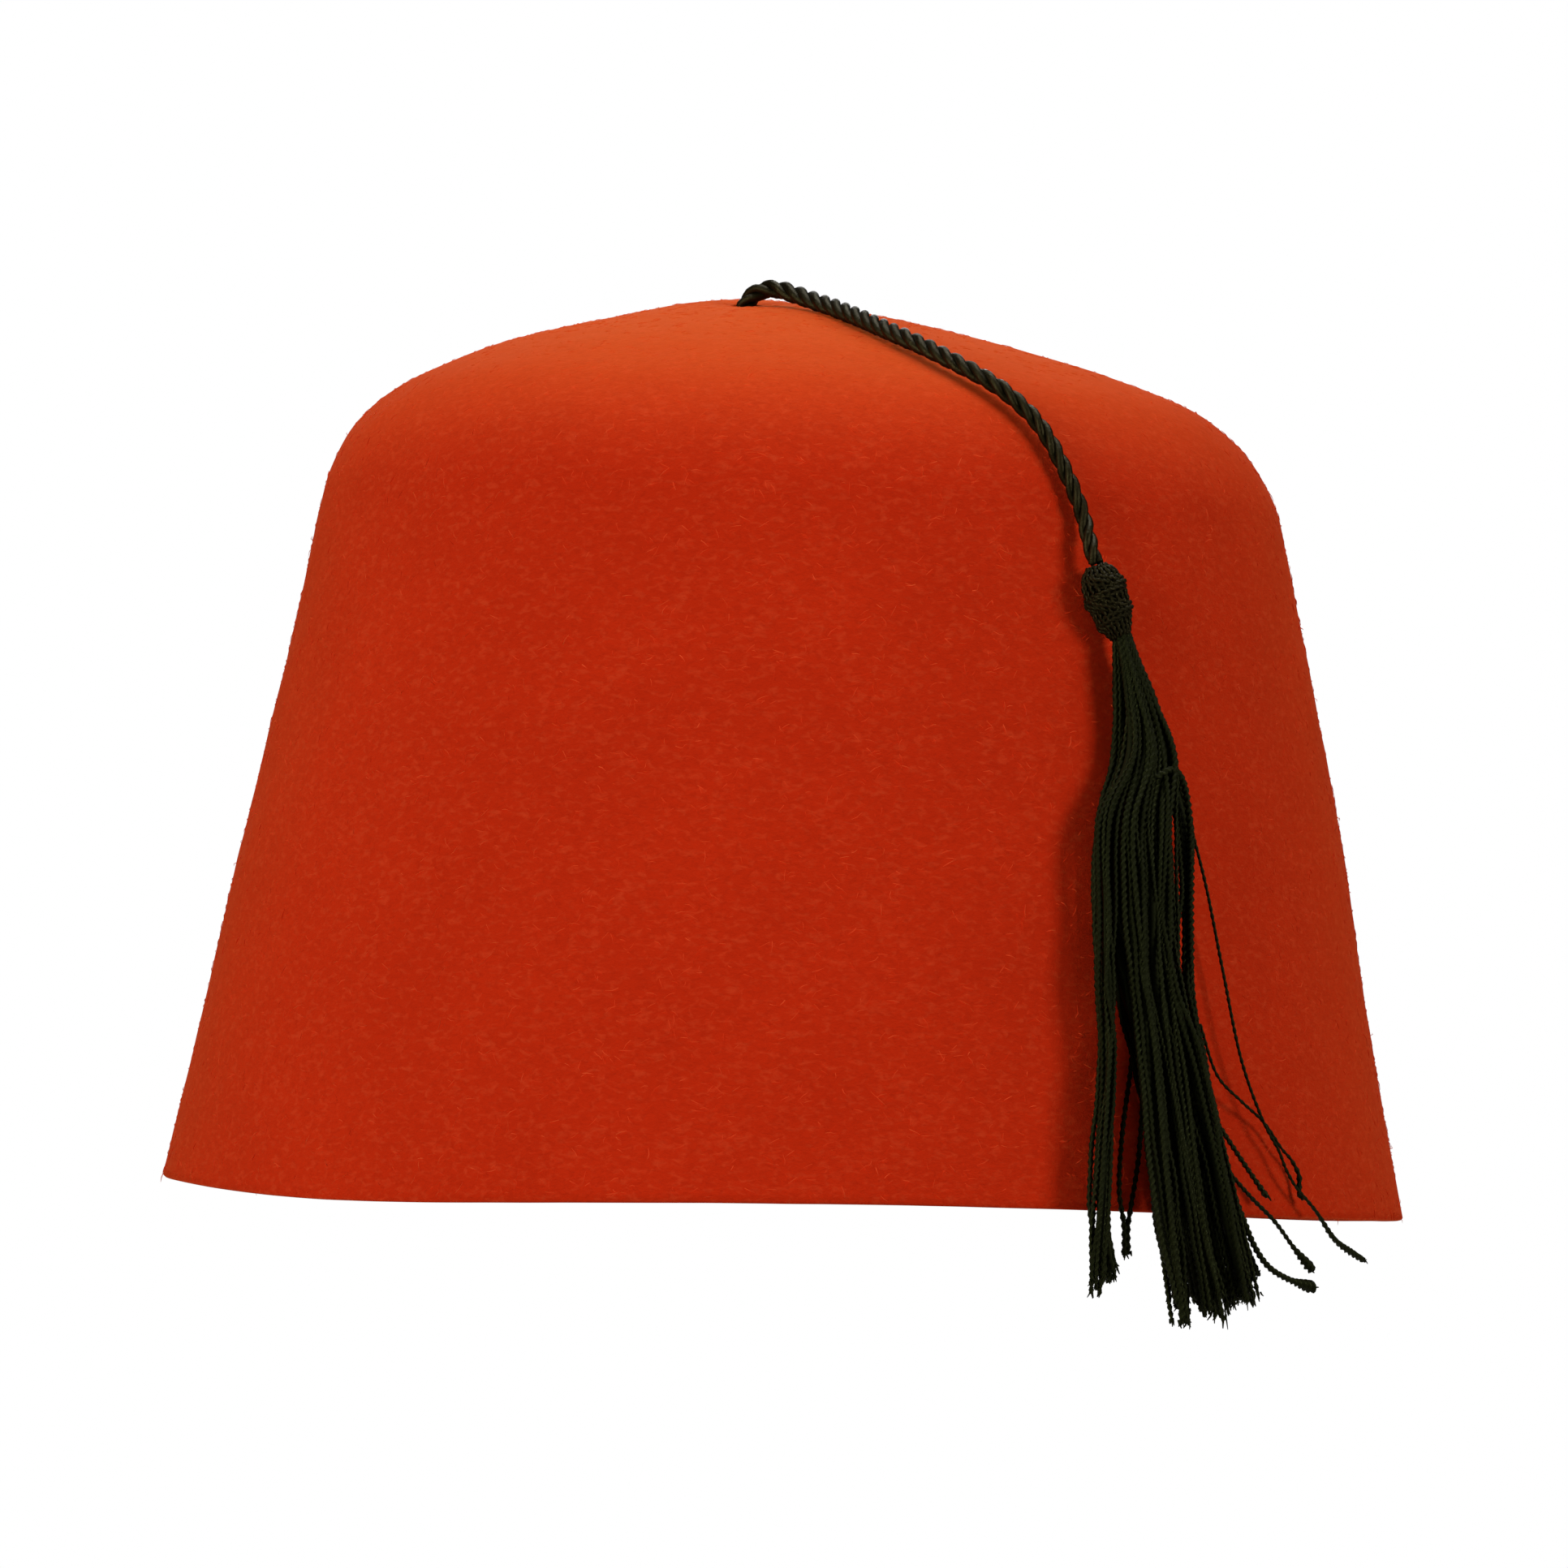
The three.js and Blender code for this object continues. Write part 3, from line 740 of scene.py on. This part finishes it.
def matt_paper(stage):
    """Pale matt paper that thins out into the white of the studio away from the hat."""
    material, tree = blank_material("matt_paper")
    place = add_node(tree, "ShaderNodeTexCoord").outputs["Object"]
    reach = add_node(tree, "ShaderNodeVectorMath", {0: place}, operation="LENGTH").outputs["Value"]
    gone = stretched(tree, reach, *PAPER_FADE)
    paper = add_node(tree, "ShaderNodeBsdfPrincipled", {"Base Color": stage.floor, "Roughness": 0.9})
    clear = add_node(tree, "ShaderNodeBsdfTransparent")
    both = {0: gone, 1: paper.outputs["BSDF"], 2: clear.outputs["BSDF"]}
    mix = add_node(tree, "ShaderNodeMixShader", both)
    add_node(tree, "ShaderNodeOutputMaterial", {"Surface": mix.outputs["Shader"]})
    return material


def felt_profile(felt):
    """The sections as radius, shift of the centre and height."""
    rim = felt.head / MM / (2 * math.pi) + felt.thickness / MM
    height = felt.height / MM
    rows = []
    for _, drop, inset, lean in SECTIONS:
        radius = 0.0 if inset is None else rim - inset
        rows.append((radius, -lean, height - drop))
    return np.array(rows)


def smoothstep(value, low, high):
    """A smooth ramp from 0 at low to 1 at high."""
    share = np.clip((value - low) / (high - low), 0, 1)
    return share * share * (3 - 2 * share)


def settle(felt, points, azimuth):
    """Adds the top's hollows and the rim's waves to points of the plain outside."""
    crown = felt.height / MM
    height = points[..., 2].copy()
    on_top = smoothstep(height, crown - HOLLOWS_START, crown - HOLLOWS_FULL)
    for _, x, y, reach, depth in HOLLOWS:
        apart = np.hypot(points[..., 0] - x, points[..., 1] - y)
        points[..., 2] -= depth * on_top * np.exp(-((apart / reach) ** 2))
    near_rim = np.maximum(0, 1 - height / RIM_WAVE_HEIGHT) ** 2
    for _, middle, spread, lift in RIM_WAVES:
        apart = (np.degrees(azimuth) - middle + 180) % 360 - 180
        points[..., 2] += lift * near_rim * np.exp(-((apart / spread) ** 2))
    return points


def felt_outside(felt):
    """The felt's outside as rows of points from the cut corner at the rim to the cord's hole."""
    sections = felt_profile(felt)
    azimuth = 2 * np.pi * np.arange(FELT_COLUMNS) / FELT_COLUMNS
    fine = spline(sections, np.linspace(0, DOME_SECTION, PROFILE_STEPS))
    along = np.concatenate([[0], np.cumsum(np.linalg.norm(np.diff(fine[:, ::2], axis=0), axis=1))])
    wanted = np.linspace(CUT_CORNER, along[-1], int(along[-1] / FELT_ROW))
    radius, shift, height = (np.interp(wanted, along, fine[:, k])[:, None] for k in range(3))
    x = shift + radius * np.cos(azimuth)
    wall = np.stack([x, radius * np.sin(azimuth), np.broadcast_to(height, x.shape)], -1)
    share = np.linspace(0, 1, TOP_ROWS + 1)[1:, None]
    top_radius = radius[-1] * (1 - share) + HOLE_RADIUS * share
    x = shift[-1] * (1 - share) + HOLE[0] * share + top_radius * np.cos(azimuth)
    y = HOLE[1] * share + top_radius * np.sin(azimuth)
    low = np.full(x.shape, DOME_SECTION - 0.1)
    high = np.full(x.shape, len(sections) - 1.0)
    for _ in range(TOP_HALVINGS):
        middle = (low + high) / 2
        ring = spline(sections, middle)
        outside = np.hypot(x - ring[..., 1], y) < ring[..., 0]
        low = np.where(outside, middle, low)
        high = np.where(outside, high, middle)
    top = np.stack([x, y, spline(sections, low)[..., 2]], -1)
    return settle(felt, np.concatenate([wall, top]), azimuth)


def normals_of(rows):
    """Outward directions of a grid of rows that close round the hat."""
    around = np.roll(rows, -1, axis=1) - np.roll(rows, 1, axis=1)
    return unit(np.cross(around, np.gradient(rows, axis=0)))


def felt_shape(felt, draws):
    """The felt cap as one closed grid, with the outside rows and their directions for the nap."""
    thickness = felt.thickness / MM
    rows = felt_outside(felt)
    facing = normals_of(rows)
    inside = rows - thickness * facing
    for size, height in FELT_SWELLS:
        rows = rows + height * ripple(rows, size, draws)[..., None] * facing
        inside = inside + height * ripple(inside, size, draws)[..., None] * facing
    inner = inside[::INSIDE_EVERY][::-1]
    if (len(inside) - 1) % INSIDE_EVERY:
        inner = np.concatenate([inside[-1:], inner])
    hole = [rows[-1] * (1 - share) + inside[-1] * share for share in HOLE_WALL]
    edge = []
    for share, rise in CUT_EDGE[::-1]:
        ring = rows[0] * (1 - share) + inside[0] * share
        ring[:, 2] = rows[0][:, 2] - CUT_CORNER + rise
        edge.append(ring)
    grid = np.concatenate([rows, np.array(hole), inner, np.array(edge)])
    spot = np.arange(grid.shape[0] * FELT_COLUMNS).reshape(grid.shape[0], FELT_COLUMNS)
    above = np.roll(spot, -1, axis=0)
    corners = [spot, np.roll(spot, -1, axis=1), np.roll(above, -1, axis=1), above]
    quads = np.stack(corners, -1).reshape(-1, 4)
    shape = (grid.reshape(-1, 3), quads, np.empty((0, 3), int), np.zeros(spot.size))
    return shape, rows, normals_of(rows)


def nap_shape(felt, rows, facing, draws):
    """Loose fibres on the felt, drawn thick enough to show. Most lie along it and some stand out."""
    count = felt.nap
    reach = np.linalg.norm(np.diff(rows, axis=0), axis=-1).mean(1)
    girth = np.linalg.norm(np.roll(rows, -1, axis=1) - rows, axis=-1).sum(1)[:-1]
    row = draws.choice(len(reach), count, p=reach * girth / (reach * girth).sum())
    column = draws.integers(0, FELT_COLUMNS, count)
    beside = (column + 1) % FELT_COLUMNS
    up, over = draws.uniform(0, 1, (2, count, 1))
    root = (rows[row, column] * (1 - up) + rows[row + 1, column] * up) * (1 - over)
    root += (rows[row, beside] * (1 - up) + rows[row + 1, beside] * up) * over
    out = facing[row, column]
    level = unit(np.cross(out, [0, 0, 1.0]) + 1e-6)
    climb = np.cross(level, out)
    heading = draws.normal(0, NAP_HEADING, count)[:, None]
    ahead = np.cos(heading) * level + np.sin(heading) * climb
    ahead *= draws.choice([-1, 1], count)[:, None]
    bend = draws.normal(0, NAP_BEND, count)[:, None] * np.cross(out, ahead)
    size = (felt.nap_length / MM * draws.uniform(*NAP_LENGTHS, count))[:, None]
    stand = np.abs(draws.normal(0.0, NAP_STAND, count))[:, None]
    stand = stand + NAP_RISE * (draws.uniform(size=(count, 1)) > NAP_LYING)
    stand *= 1 - NAP_FLAT_TOP * np.maximum(out[:, 2:], 0)
    arch = []
    for _, along, bent, lift, stood in NAP_ARCH:
        arch.append(root + size * (along * ahead + bent * bend) + (lift + stood * stand) * out)
    lines = np.stack(arch, 1)
    thick = draws.uniform(*NAP_RADII, (count, 1, 1)) * np.array(NAP_TAPER)[None, :, None]
    points, quads, triangles, owner = tubes(lines, np.broadcast_to(thick, (count, 3, 3)))
    shade = np.clip(draws.normal(*NAP_PALE, count), 0, 1)
    return points, quads, triangles, shade[owner]


def plied(line, plies, cord_radius, pitch, start, sides):
    """The plies of a twisted cord along a line of even points. Its radius is one number or one a point."""
    ply = np.broadcast_to(cord_radius, len(line)) / (1 + 1 / math.sin(math.pi / plies))
    offset = (cord_radius - ply)[:, None]
    normals, binormals = carried_frames(line[None])
    along = np.linspace(0, line_length(line), len(line))
    angle = 2 * np.pi * (along[None] / pitch + np.arange(plies)[:, None] / plies) + start
    lines = line + offset * (np.cos(angle)[..., None] * normals + np.sin(angle)[..., None] * binormals)
    yarn = 1 + PLY_YARN * np.cos(np.pi * np.arange(sides))
    radius = np.broadcast_to(PLY_PRESS * ply[:, None] * yarn, (plies, len(line), sides))
    twist = -4 * np.pi * along / pitch
    points, quads, triangles, owner = tubes(lines, radius, twist)
    return points, quads, triangles, np.linspace(*PLY_TINTS, plies)[owner]


def spun(lines, radius, pitch, sides, draws):
    """Threads of two twisted yarns along a batch of lines, radius given along each line."""
    count, rings, _ = lines.shape
    along = np.concatenate(
        [np.zeros((count, 1)), np.cumsum(np.linalg.norm(np.diff(lines, axis=1), axis=-1), axis=1)], 1
    )
    turn = 2 * np.pi * along / (pitch * draws.uniform(*PITCH_SPREAD, (count, 1)))
    turn += draws.uniform(0, 2 * np.pi, (count, 1))
    wave = np.cos(4 * np.pi * np.arange(sides) / sides)
    skin = np.broadcast_to(radius, (count, rings))[..., None] * (YARN_MEAN + YARN_OUT * wave)
    points, quads, triangles, owner = tubes(lines, skin, turn)
    # painted shade: the tint falls from the crowns of the twist into its hollows
    crown = np.concatenate([np.tile(0.5 + 0.5 * wave, count * rings), np.zeros(2 * count)])
    tint = draws.uniform(*THREAD_TINTS, count)[owner] * (HOLLOW_SHADE + (1 - HOLLOW_SHADE) * crown)
    return points, quads, triangles, tint


def wall_place(felt, height, across, lift):
    """Places off the wall: height, distance to the right of the skirt's azimuth, distance off the felt."""
    sections = spline(felt_profile(felt), np.linspace(0, 4, 400))
    radius = np.interp(np.maximum(height, 0), sections[:, 2], sections[:, 0]) + lift
    azimuth = math.radians(SKIRT_AZIMUTH) + across / radius
    x = radius * np.cos(azimuth)
    return np.stack([x, radius * np.sin(azimuth), np.broadcast_to(height, x.shape)], -1)


def lock_threads(lock, tassel, draws):
    """Stations of a lock's threads as (thread, station) arrays of height, across and lift."""
    _, layer, girth, across, tip = lock
    thread = tassel.thread / MM
    ring = max(girth - thread, 0.1) / 2
    count = max(2, int(2 * math.pi * ring / (LOCK_PACKING * thread)))
    heights = np.array([station[1] for station in STATIONS] + [tip])
    shares = np.array([station[2] for station in STATIONS] + [END_SHARE])
    lifts = np.array([station[layer] for station in STATIONS] + [STATIONS[-1][layer]])
    uneven = draws.uniform(-LOCK_UNEVEN, LOCK_UNEVEN, (count, 1))
    angle = 2 * np.pi * (np.arange(count)[:, None] + uneven) / count
    turn = draws.uniform(-LOCK_TURN, LOCK_TURN) + draws.normal(0, LOCK_TURN, (count, 1))
    angle = angle + turn * np.linspace(0, 1, len(heights))
    ring = ring * draws.uniform(*LOCK_DEPTHS, (count, 1))
    stray = draws.normal(0, tassel.wander / MM, (2, count, len(heights)))
    stray = stray * smoothstep(shares, WANDER_FROM, 1.0)
    wide = np.array(across) + shares * ring * np.cos(angle) + stray[0]
    lift = lifts + shares * ring * np.sin(angle) + LIFT_WANDER * stray[1]
    lift = np.maximum(lift, LEAST_LIFT[0] * thread + LEAST_LIFT[1])
    height = np.broadcast_to(heights, wide.shape).copy()
    height[:, -1] += draws.uniform(0, THREAD_SHORT, count)
    for first in range(0, count, CLUMP):
        clump = slice(first, first + CLUMP)
        height[clump, -1] += draws.uniform(*CLUMP_SHORT)
        for place in (wide, lift):
            place[clump, -1] += CLUMP_DRAW * (place[clump, -1].mean() - place[clump, -1])
    return height, wide, lift


def waver(lines, draws):
    """Small bends across a batch of threads, none at their bound ends."""
    count, rings, _ = lines.shape
    along = np.linspace(0, 1, rings)
    bends = draws.uniform(*WAVER_BENDS, (count, 1)) * 2 * np.pi * along
    bends = bends + draws.uniform(0, 2 * np.pi, (count, 1))
    side = unit(np.cross(lines[:, -1] - lines[:, 0], draws.normal(size=(count, 3))))
    reach = draws.uniform(*WAVER_REACH, (count, 1)) * smoothstep(along, *WAVER_START)
    return (reach * np.sin(bends))[..., None] * side[:, None]


def fray(lines, share, draws):
    """Loose fibres that spread from the cut ends of threads, share of them at each end."""
    count = share * len(lines)
    tips = np.repeat(lines[:, -1], share, axis=0)
    ahead = np.repeat(unit(lines[:, -1] - lines[:, -FRAY_BACK]), share, axis=0)
    spread = draws.normal(0, FRAY_SPREAD, (count, 3))
    size = draws.uniform(*FRAY_LENGTHS, (count, 1))
    root = tips - FRAY_ROOT * ahead + FRAY_SCATTER * draws.normal(size=(count, 3))
    # a fibre sets off along the thread and bends away past its middle
    middle = root + 0.55 * size * (ahead + 0.5 * spread)
    fibres = np.stack([root, middle, root + size * (ahead + spread)], 1)
    thick = np.array(FRAY_TAPER)[None, :, None] * draws.uniform(*FRAY_RADII, (count, 1, 1))
    points, quads, triangles, owner = tubes(fibres, np.broadcast_to(thick, (count, 3, FRAY_SIDES)))
    return points, quads, triangles, draws.uniform(*FRAY_TINTS, count)[owner]


def head_place():
    """The turn that sets a knot made down -Z along the tassel's head, and the head's length."""
    axis = Vector(HEAD_FOOT) - Vector(HEAD_TOP)
    turn = Vector((0, 0, -1)).rotation_difference(axis)
    return np.array(turn.to_matrix()), axis.length


class FEZ_OT_stage(bpy.types.Operator):
    """Make the camera, the softboxes and the floor"""

    bl_idname = "fez.stage"
    bl_label = "Stage"

    def execute(self, context):
        stage = context.scene.fez_stage
        self.add_camera(context.scene)
        for name, strength, azimuth, elevation, distance, side in SOFTBOXES:
            light = bpy.data.lights.new(name, "AREA")
            light.energy = getattr(stage, strength)
            light.size = side
            box = bpy.data.objects.new(name, light)
            turn = math.radians(azimuth)
            rise = math.radians(elevation)
            aim = Vector(LIGHT_AIM) * MM
            out = Vector((math.cos(turn) * math.cos(rise), math.sin(turn) * math.cos(rise), math.sin(rise)))
            box.location = aim + distance * out
            box.rotation_euler = (-out).to_track_quat("-Z", "Y").to_euler()
            box.visible_camera = False
            context.scene.collection.objects.link(box)
        self.add_floor(context.scene, stage)
        world = bpy.data.worlds.new("white_studio")
        world.use_nodes = True
        back = world.node_tree.nodes["Background"]
        back.inputs["Color"].default_value = (1, 1, 1, 1)
        back.inputs["Strength"].default_value = 1.0
        world.cycles_visibility.diffuse = False
        world.cycles_visibility.glossy = False
        context.scene.world = world
        context.scene.view_settings.view_transform = "Standard"
        return {"FINISHED"}

    def add_camera(self, scene):
        """Adds the camera of the photograph."""
        data = bpy.data.cameras.new("photo_camera")
        place = Vector(CAMERA_PLACE) * MM
        ahead = Vector(CAMERA_AIM) * MM - place
        data.sensor_width = SENSOR
        data.lens = ahead.length / (PICTURE_MM_PER_PIXEL * MM * PICTURE_SIDE) * SENSOR
        data.clip_end = CAMERA_FAR
        camera = bpy.data.objects.new("photo_camera", data)
        turn = ahead.to_track_quat("-Z", "Y").to_matrix().to_4x4()
        roll = Matrix.Rotation(math.radians(CAMERA_ROLL), 4, "Z")
        camera.matrix_world = Matrix.Translation(place) @ turn @ roll
        scene.collection.objects.link(camera)
        scene.camera = camera

    def add_floor(self, scene, stage):
        """Adds a wide round sheet of paper, too low for the photograph's camera to see."""
        rings = np.linspace(*FLOOR_REACH, FLOOR_ROWS)[:, None]
        angle = 2 * np.pi * np.arange(FLOOR_COLUMNS) / FLOOR_COLUMNS
        x = rings * np.cos(angle)
        points = np.stack([x, rings * np.sin(angle), np.full(x.shape, -stage.drop)], -1)
        spot = np.arange(x.size).reshape(x.shape)
        beside = np.roll(spot, -1, axis=1)
        quads = np.stack([spot[:-1], spot[1:], beside[1:], beside[:-1]], -1).reshape(-1, 4).tolist()
        mesh = bpy.data.meshes.new("studio_floor")
        mesh.from_pydata(points.reshape(-1, 3).tolist(), [], quads + [spot[0].tolist()])
        mesh.materials.append(matt_paper(stage))
        floor = bpy.data.objects.new("studio_floor", mesh)
        scene.collection.objects.link(floor)


class FEZ_OT_cord(bpy.types.Operator):
    """Make the twisted cord, the knot inside the hat and the knot at the tassel's head"""

    bl_idname = "fez.cord"
    bl_label = "Cord and knots"

    def execute(self, context):
        cord = context.scene.fez_cord
        tassel = context.scene.fez_tassel
        draws = np.random.default_rng(SEED)
        twisted = rayon_thread("rayon_cord_dyed_black", cord)
        rough = spline(CORD_ROUTE, np.linspace(0, len(CORD_ROUTE) - 1, 1200))
        line = even(rough, int(line_length(rough) / CORD_STEP))
        # the weight of the tassel draws the cord thinner towards its lower end
        drawn = 1 - CORD_DRAWN * smoothstep(np.linspace(0, 1, len(line)), *CORD_DRAWN_OVER)
        plies = plied(line, CORD_PLIES, drawn * cord.diameter / MM / 2, cord.pitch / MM, 0.0, CORD_SIDES)
        piece = make_piece("cord_plies", plies, twisted, "black_cord", "tassel_cord")
        inside = make_piece("inside_knot", self.inside_knot(cord), twisted, "black_cord", "stop_knot")
        knot = self.head_knot(tassel, draws)
        head = make_piece("head_knot", knot, twisted, "black_thread", "tassel_head")
        return {"FINISHED"}

    def inside_knot(self, cord):
        """The cord tied in a trefoil under the top."""
        turn = np.linspace(0, 2 * np.pi, 200)
        wide = (KNOT_DIAMETER / 2 - KNOT_CORD_RADIUS) / 3
        deep = KNOT_HEIGHT / 2 - KNOT_CORD_RADIUS
        loop = np.stack(
            [
                wide * (np.sin(turn) + 2 * np.sin(2 * turn)),
                wide * (np.cos(turn) - 2 * np.cos(2 * turn)),
                -deep * np.sin(3 * turn),
            ],
            -1,
        )
        tilt = np.array(Matrix.Rotation(math.radians(KNOT_TILT), 3, "X"))
        line = even(loop @ tilt.T + np.array(KNOT_MIDDLE), KNOT_RINGS)
        pitch = KNOT_PITCH_SHARE * cord.pitch / MM
        return plied(line, CORD_PLIES, KNOT_CORD_RADIUS, pitch, 0.0, KNOT_SIDES)

    def head_knot(self, tassel, draws):
        """The egg-shaped knot: threads down its core, and two strands woven over them."""
        place, long = head_place()
        width = tassel.head_width / MM
        thread = HEAD_THREAD * tassel.thread / MM
        pitch = HEAD_THREAD * tassel.pitch / MM
        stops = [row[1] for row in HEAD_FORM]
        form = [row[2] * width / 2 for row in HEAD_FORM]
        along = np.linspace(0, 1, HEAD_RINGS)
        ring = HEAD_CORE * np.interp(along, stops, form) - thread / 2
        start = 2 * np.pi * np.arange(HEAD_CORE_THREADS)[:, None] / HEAD_CORE_THREADS
        angle = start + HEAD_CORE_TURN * along
        depth = np.broadcast_to(-along * long, angle.shape)
        core = np.stack([ring * np.cos(angle), ring * np.sin(angle), depth], -1)
        filler = np.stack([0 * along, 0 * along, -along * long], -1)[None]
        parts = [
            spun(core, thread / 2, pitch, HEAD_SIDES, draws),
            spun(filler, ring, UNTWISTED, FILLER_SIDES, draws),
        ]
        share = np.linspace(0, 1, WRAP_RINGS)
        down = WRAP_FROM + (WRAP_TO - WRAP_FROM) * share
        risen = smoothstep(np.minimum(share, 1 - share), 0, WRAP_SINK)
        reach = WRAP_SUNK + (1 - WRAP_SUNK) * risen
        weave = WRAP_WEAVE * np.cos(2 * np.pi * WRAP_TURNS * share)
        offset = WRAP_RADIUS - thread / 2
        for hand in (1, -1):
            turn = math.radians(WRAP_START) + hand * 2 * np.pi * WRAP_TURNS * share
            out = (np.interp(down, stops, form) - WRAP_RADIUS + hand * weave) * reach
            helix = even(np.stack([out * np.cos(turn), out * np.sin(turn), -down * long], -1), WRAP_RINGS)
            normals, binormals = carried_frames(helix[None])
            strand = np.linspace(0, line_length(helix), WRAP_RINGS) / WRAP_PITCH
            spin = 2 * np.pi * (strand + np.arange(WRAP_THREADS)[:, None] / WRAP_THREADS)
            around = np.cos(spin)[..., None] * normals + np.sin(spin)[..., None] * binormals
            parts.append(spun(helix + offset * around, thread / 2, pitch, HEAD_SIDES, draws))
            parts.append(spun(helix[None], offset, UNTWISTED, HEAD_SIDES, draws))
        points, quads, triangles, tint = joined(parts)
        return points @ place.T + np.array(HEAD_TOP), quads, triangles, HEAD_TINT * tint


class FEZ_OT_felt(bpy.types.Operator):
    """Make the felt cap and the loose fibres on it"""

    bl_idname = "fez.felt"
    bl_label = "Felt cap"

    def execute(self, context):
        felt = context.scene.fez_felt
        draws = np.random.default_rng(SEED + 1)
        shape, rows, facing = felt_shape(felt, draws)
        make_piece("felt_body", shape, wool_felt(felt), "red_wool_felt", "felt_cap")
        nap = nap_shape(felt, rows, facing, draws)
        fibres = make_piece("felt_nap", nap, wool_fibre(felt), "red_wool_felt")
        # fibres this fine cast no shadow that the eye can part from the felt's own
        fibres.visible_shadow = False
        return {"FINISHED"}


class FEZ_OT_skirt(bpy.types.Operator):
    """Make the hanging threads of the tassel"""

    bl_idname = "fez.skirt"
    bl_label = "Tassel skirt"

    def execute(self, context):
        felt = context.scene.fez_felt
        tassel = context.scene.fez_tassel
        draws = np.random.default_rng(SEED + 2)
        material = rayon_thread("rayon_thread_dyed_black", tassel)
        thread = tassel.thread / MM
        pitch = tassel.pitch / MM
        locks = {lock[0]: lock for lock in LOCKS}
        for name, members, rings, sides in SKIRT_PIECES:
            lines = []
            for member in members:
                for place in zip(*lock_threads(locks[member], tassel, draws)):
                    lines.append(curve_through(wall_place(felt, *place), rings))
            lines = np.array(lines)
            lines += waver(lines, draws)
            radius = thread / 2 * draws.uniform(*THREAD_WIDTHS, (len(lines), 1)) * np.ones(rings)
            radius[:, -len(THREAD_TAPER):] *= np.array(THREAD_TAPER)
            parts = [spun(lines, radius, pitch, sides, draws), fray(lines, tassel.fray, draws)]
            if name == "skirt_back":
                parts.append(self.filling(felt, tassel, draws))
            make_piece(name, joined(parts), material, "black_thread", "tassel_skirt")
        self.strays(felt, tassel, material, draws)
        return {"FINISHED"}

    def filling(self, felt, tassel, draws):
        """The threads in the middle of each lock, of which nothing but the dark shows: they are given the
        darkest colour of the dye as painted shade.
        """
        lines = []
        radii = []
        for _, layer, girth, across, tip in LOCKS:
            heights = np.array([station[1] for station in STATIONS] + [tip + FILLING_SHORT])
            lifts = np.array([station[layer] for station in STATIONS] + [STATIONS[-1][layer]])
            shares = np.array([station[2] for station in STATIONS] + [FILLING_END])
            lines.append(curve_through(wall_place(felt, heights, np.array(across), lifts), FILLING_RINGS))
            inner = max(FILLING_SHARE * (girth - tassel.thread / MM) / 2, FILLING_LEAST)
            radii.append(np.interp(lines[-1][::-1, 2], heights[::-1], inner * shares[::-1])[::-1])
        shape = spun(np.array(lines), np.array(radii), FILLING_PITCH, FILLING_SIDES, draws)
        points, quads, triangles, tint = shape
        # painted shade: the inner threads take the darkest colour
        return points, quads, triangles, 0 * tint

    def strays(self, felt, tassel, material, draws):
        """Makes the threads that have left the skirt."""
        lines = []
        radii = []
        for _, start, end, places in STRAYS:
            height, across, lift = np.array(places).T
            lines.append(curve_through(wall_place(felt, height, across, lift), STRAY_RINGS))
            share = np.linspace(0, 1, STRAY_RINGS)
            radii.append(start + (end - start) * smoothstep(share, *STRAY_SWELL))
        lines = np.array(lines)
        radii = np.array(radii)
        radii[:, -len(STRAY_TAPER):] *= np.array(STRAY_TAPER)
        threads = spun(lines, radii, tassel.pitch / MM, STRAY_SIDES, draws)
        parts = [threads, fray(lines, tassel.fray // 2, draws)]
        make_piece("stray_threads", joined(parts), material, "black_thread")


class FEZ_PT_panel(bpy.types.Panel):
    """The fez and its settings"""

    bl_label = "Fez"
    bl_idname = "FEZ_PT_panel"
    bl_space_type = "VIEW_3D"
    bl_region_type = "UI"
    bl_category = "Fez"

    def draw(self, context):
        for operator in OPERATORS:
            self.layout.operator(operator.bl_idname)
        for name in SETTINGS:
            group = getattr(context.scene, name)
            box = self.layout.box()
            for field in group.bl_rna.properties:
                if field.identifier not in ("rna_type", "name"):
                    box.prop(group, field.identifier)


SETTINGS = {
    "fez_felt": FeltSettings,
    "fez_cord": CordSettings,
    "fez_tassel": TasselSettings,
    "fez_stage": StageSettings,
}
OPERATORS = (FEZ_OT_stage, FEZ_OT_cord, FEZ_OT_felt, FEZ_OT_skirt)
CLASSES = (*SETTINGS.values(), *OPERATORS, FEZ_PT_panel)


def register():
    """Makes the settings, operators and panel known to Blender."""
    for made in CLASSES:
        bpy.utils.register_class(made)
    for name, group in SETTINGS.items():
        setattr(bpy.types.Scene, name, PointerProperty(type=group))


def unregister():
    """Takes the settings, operators and panel away again."""
    for name in SETTINGS:
        delattr(bpy.types.Scene, name)
    for made in reversed(CLASSES):
        bpy.utils.unregister_class(made)


def main():
    register()
    bpy.ops.fez.stage()
    bpy.ops.fez.cord()
    bpy.ops.fez.felt()
    bpy.ops.fez.skirt()


if __name__ == "__main__":
    main()
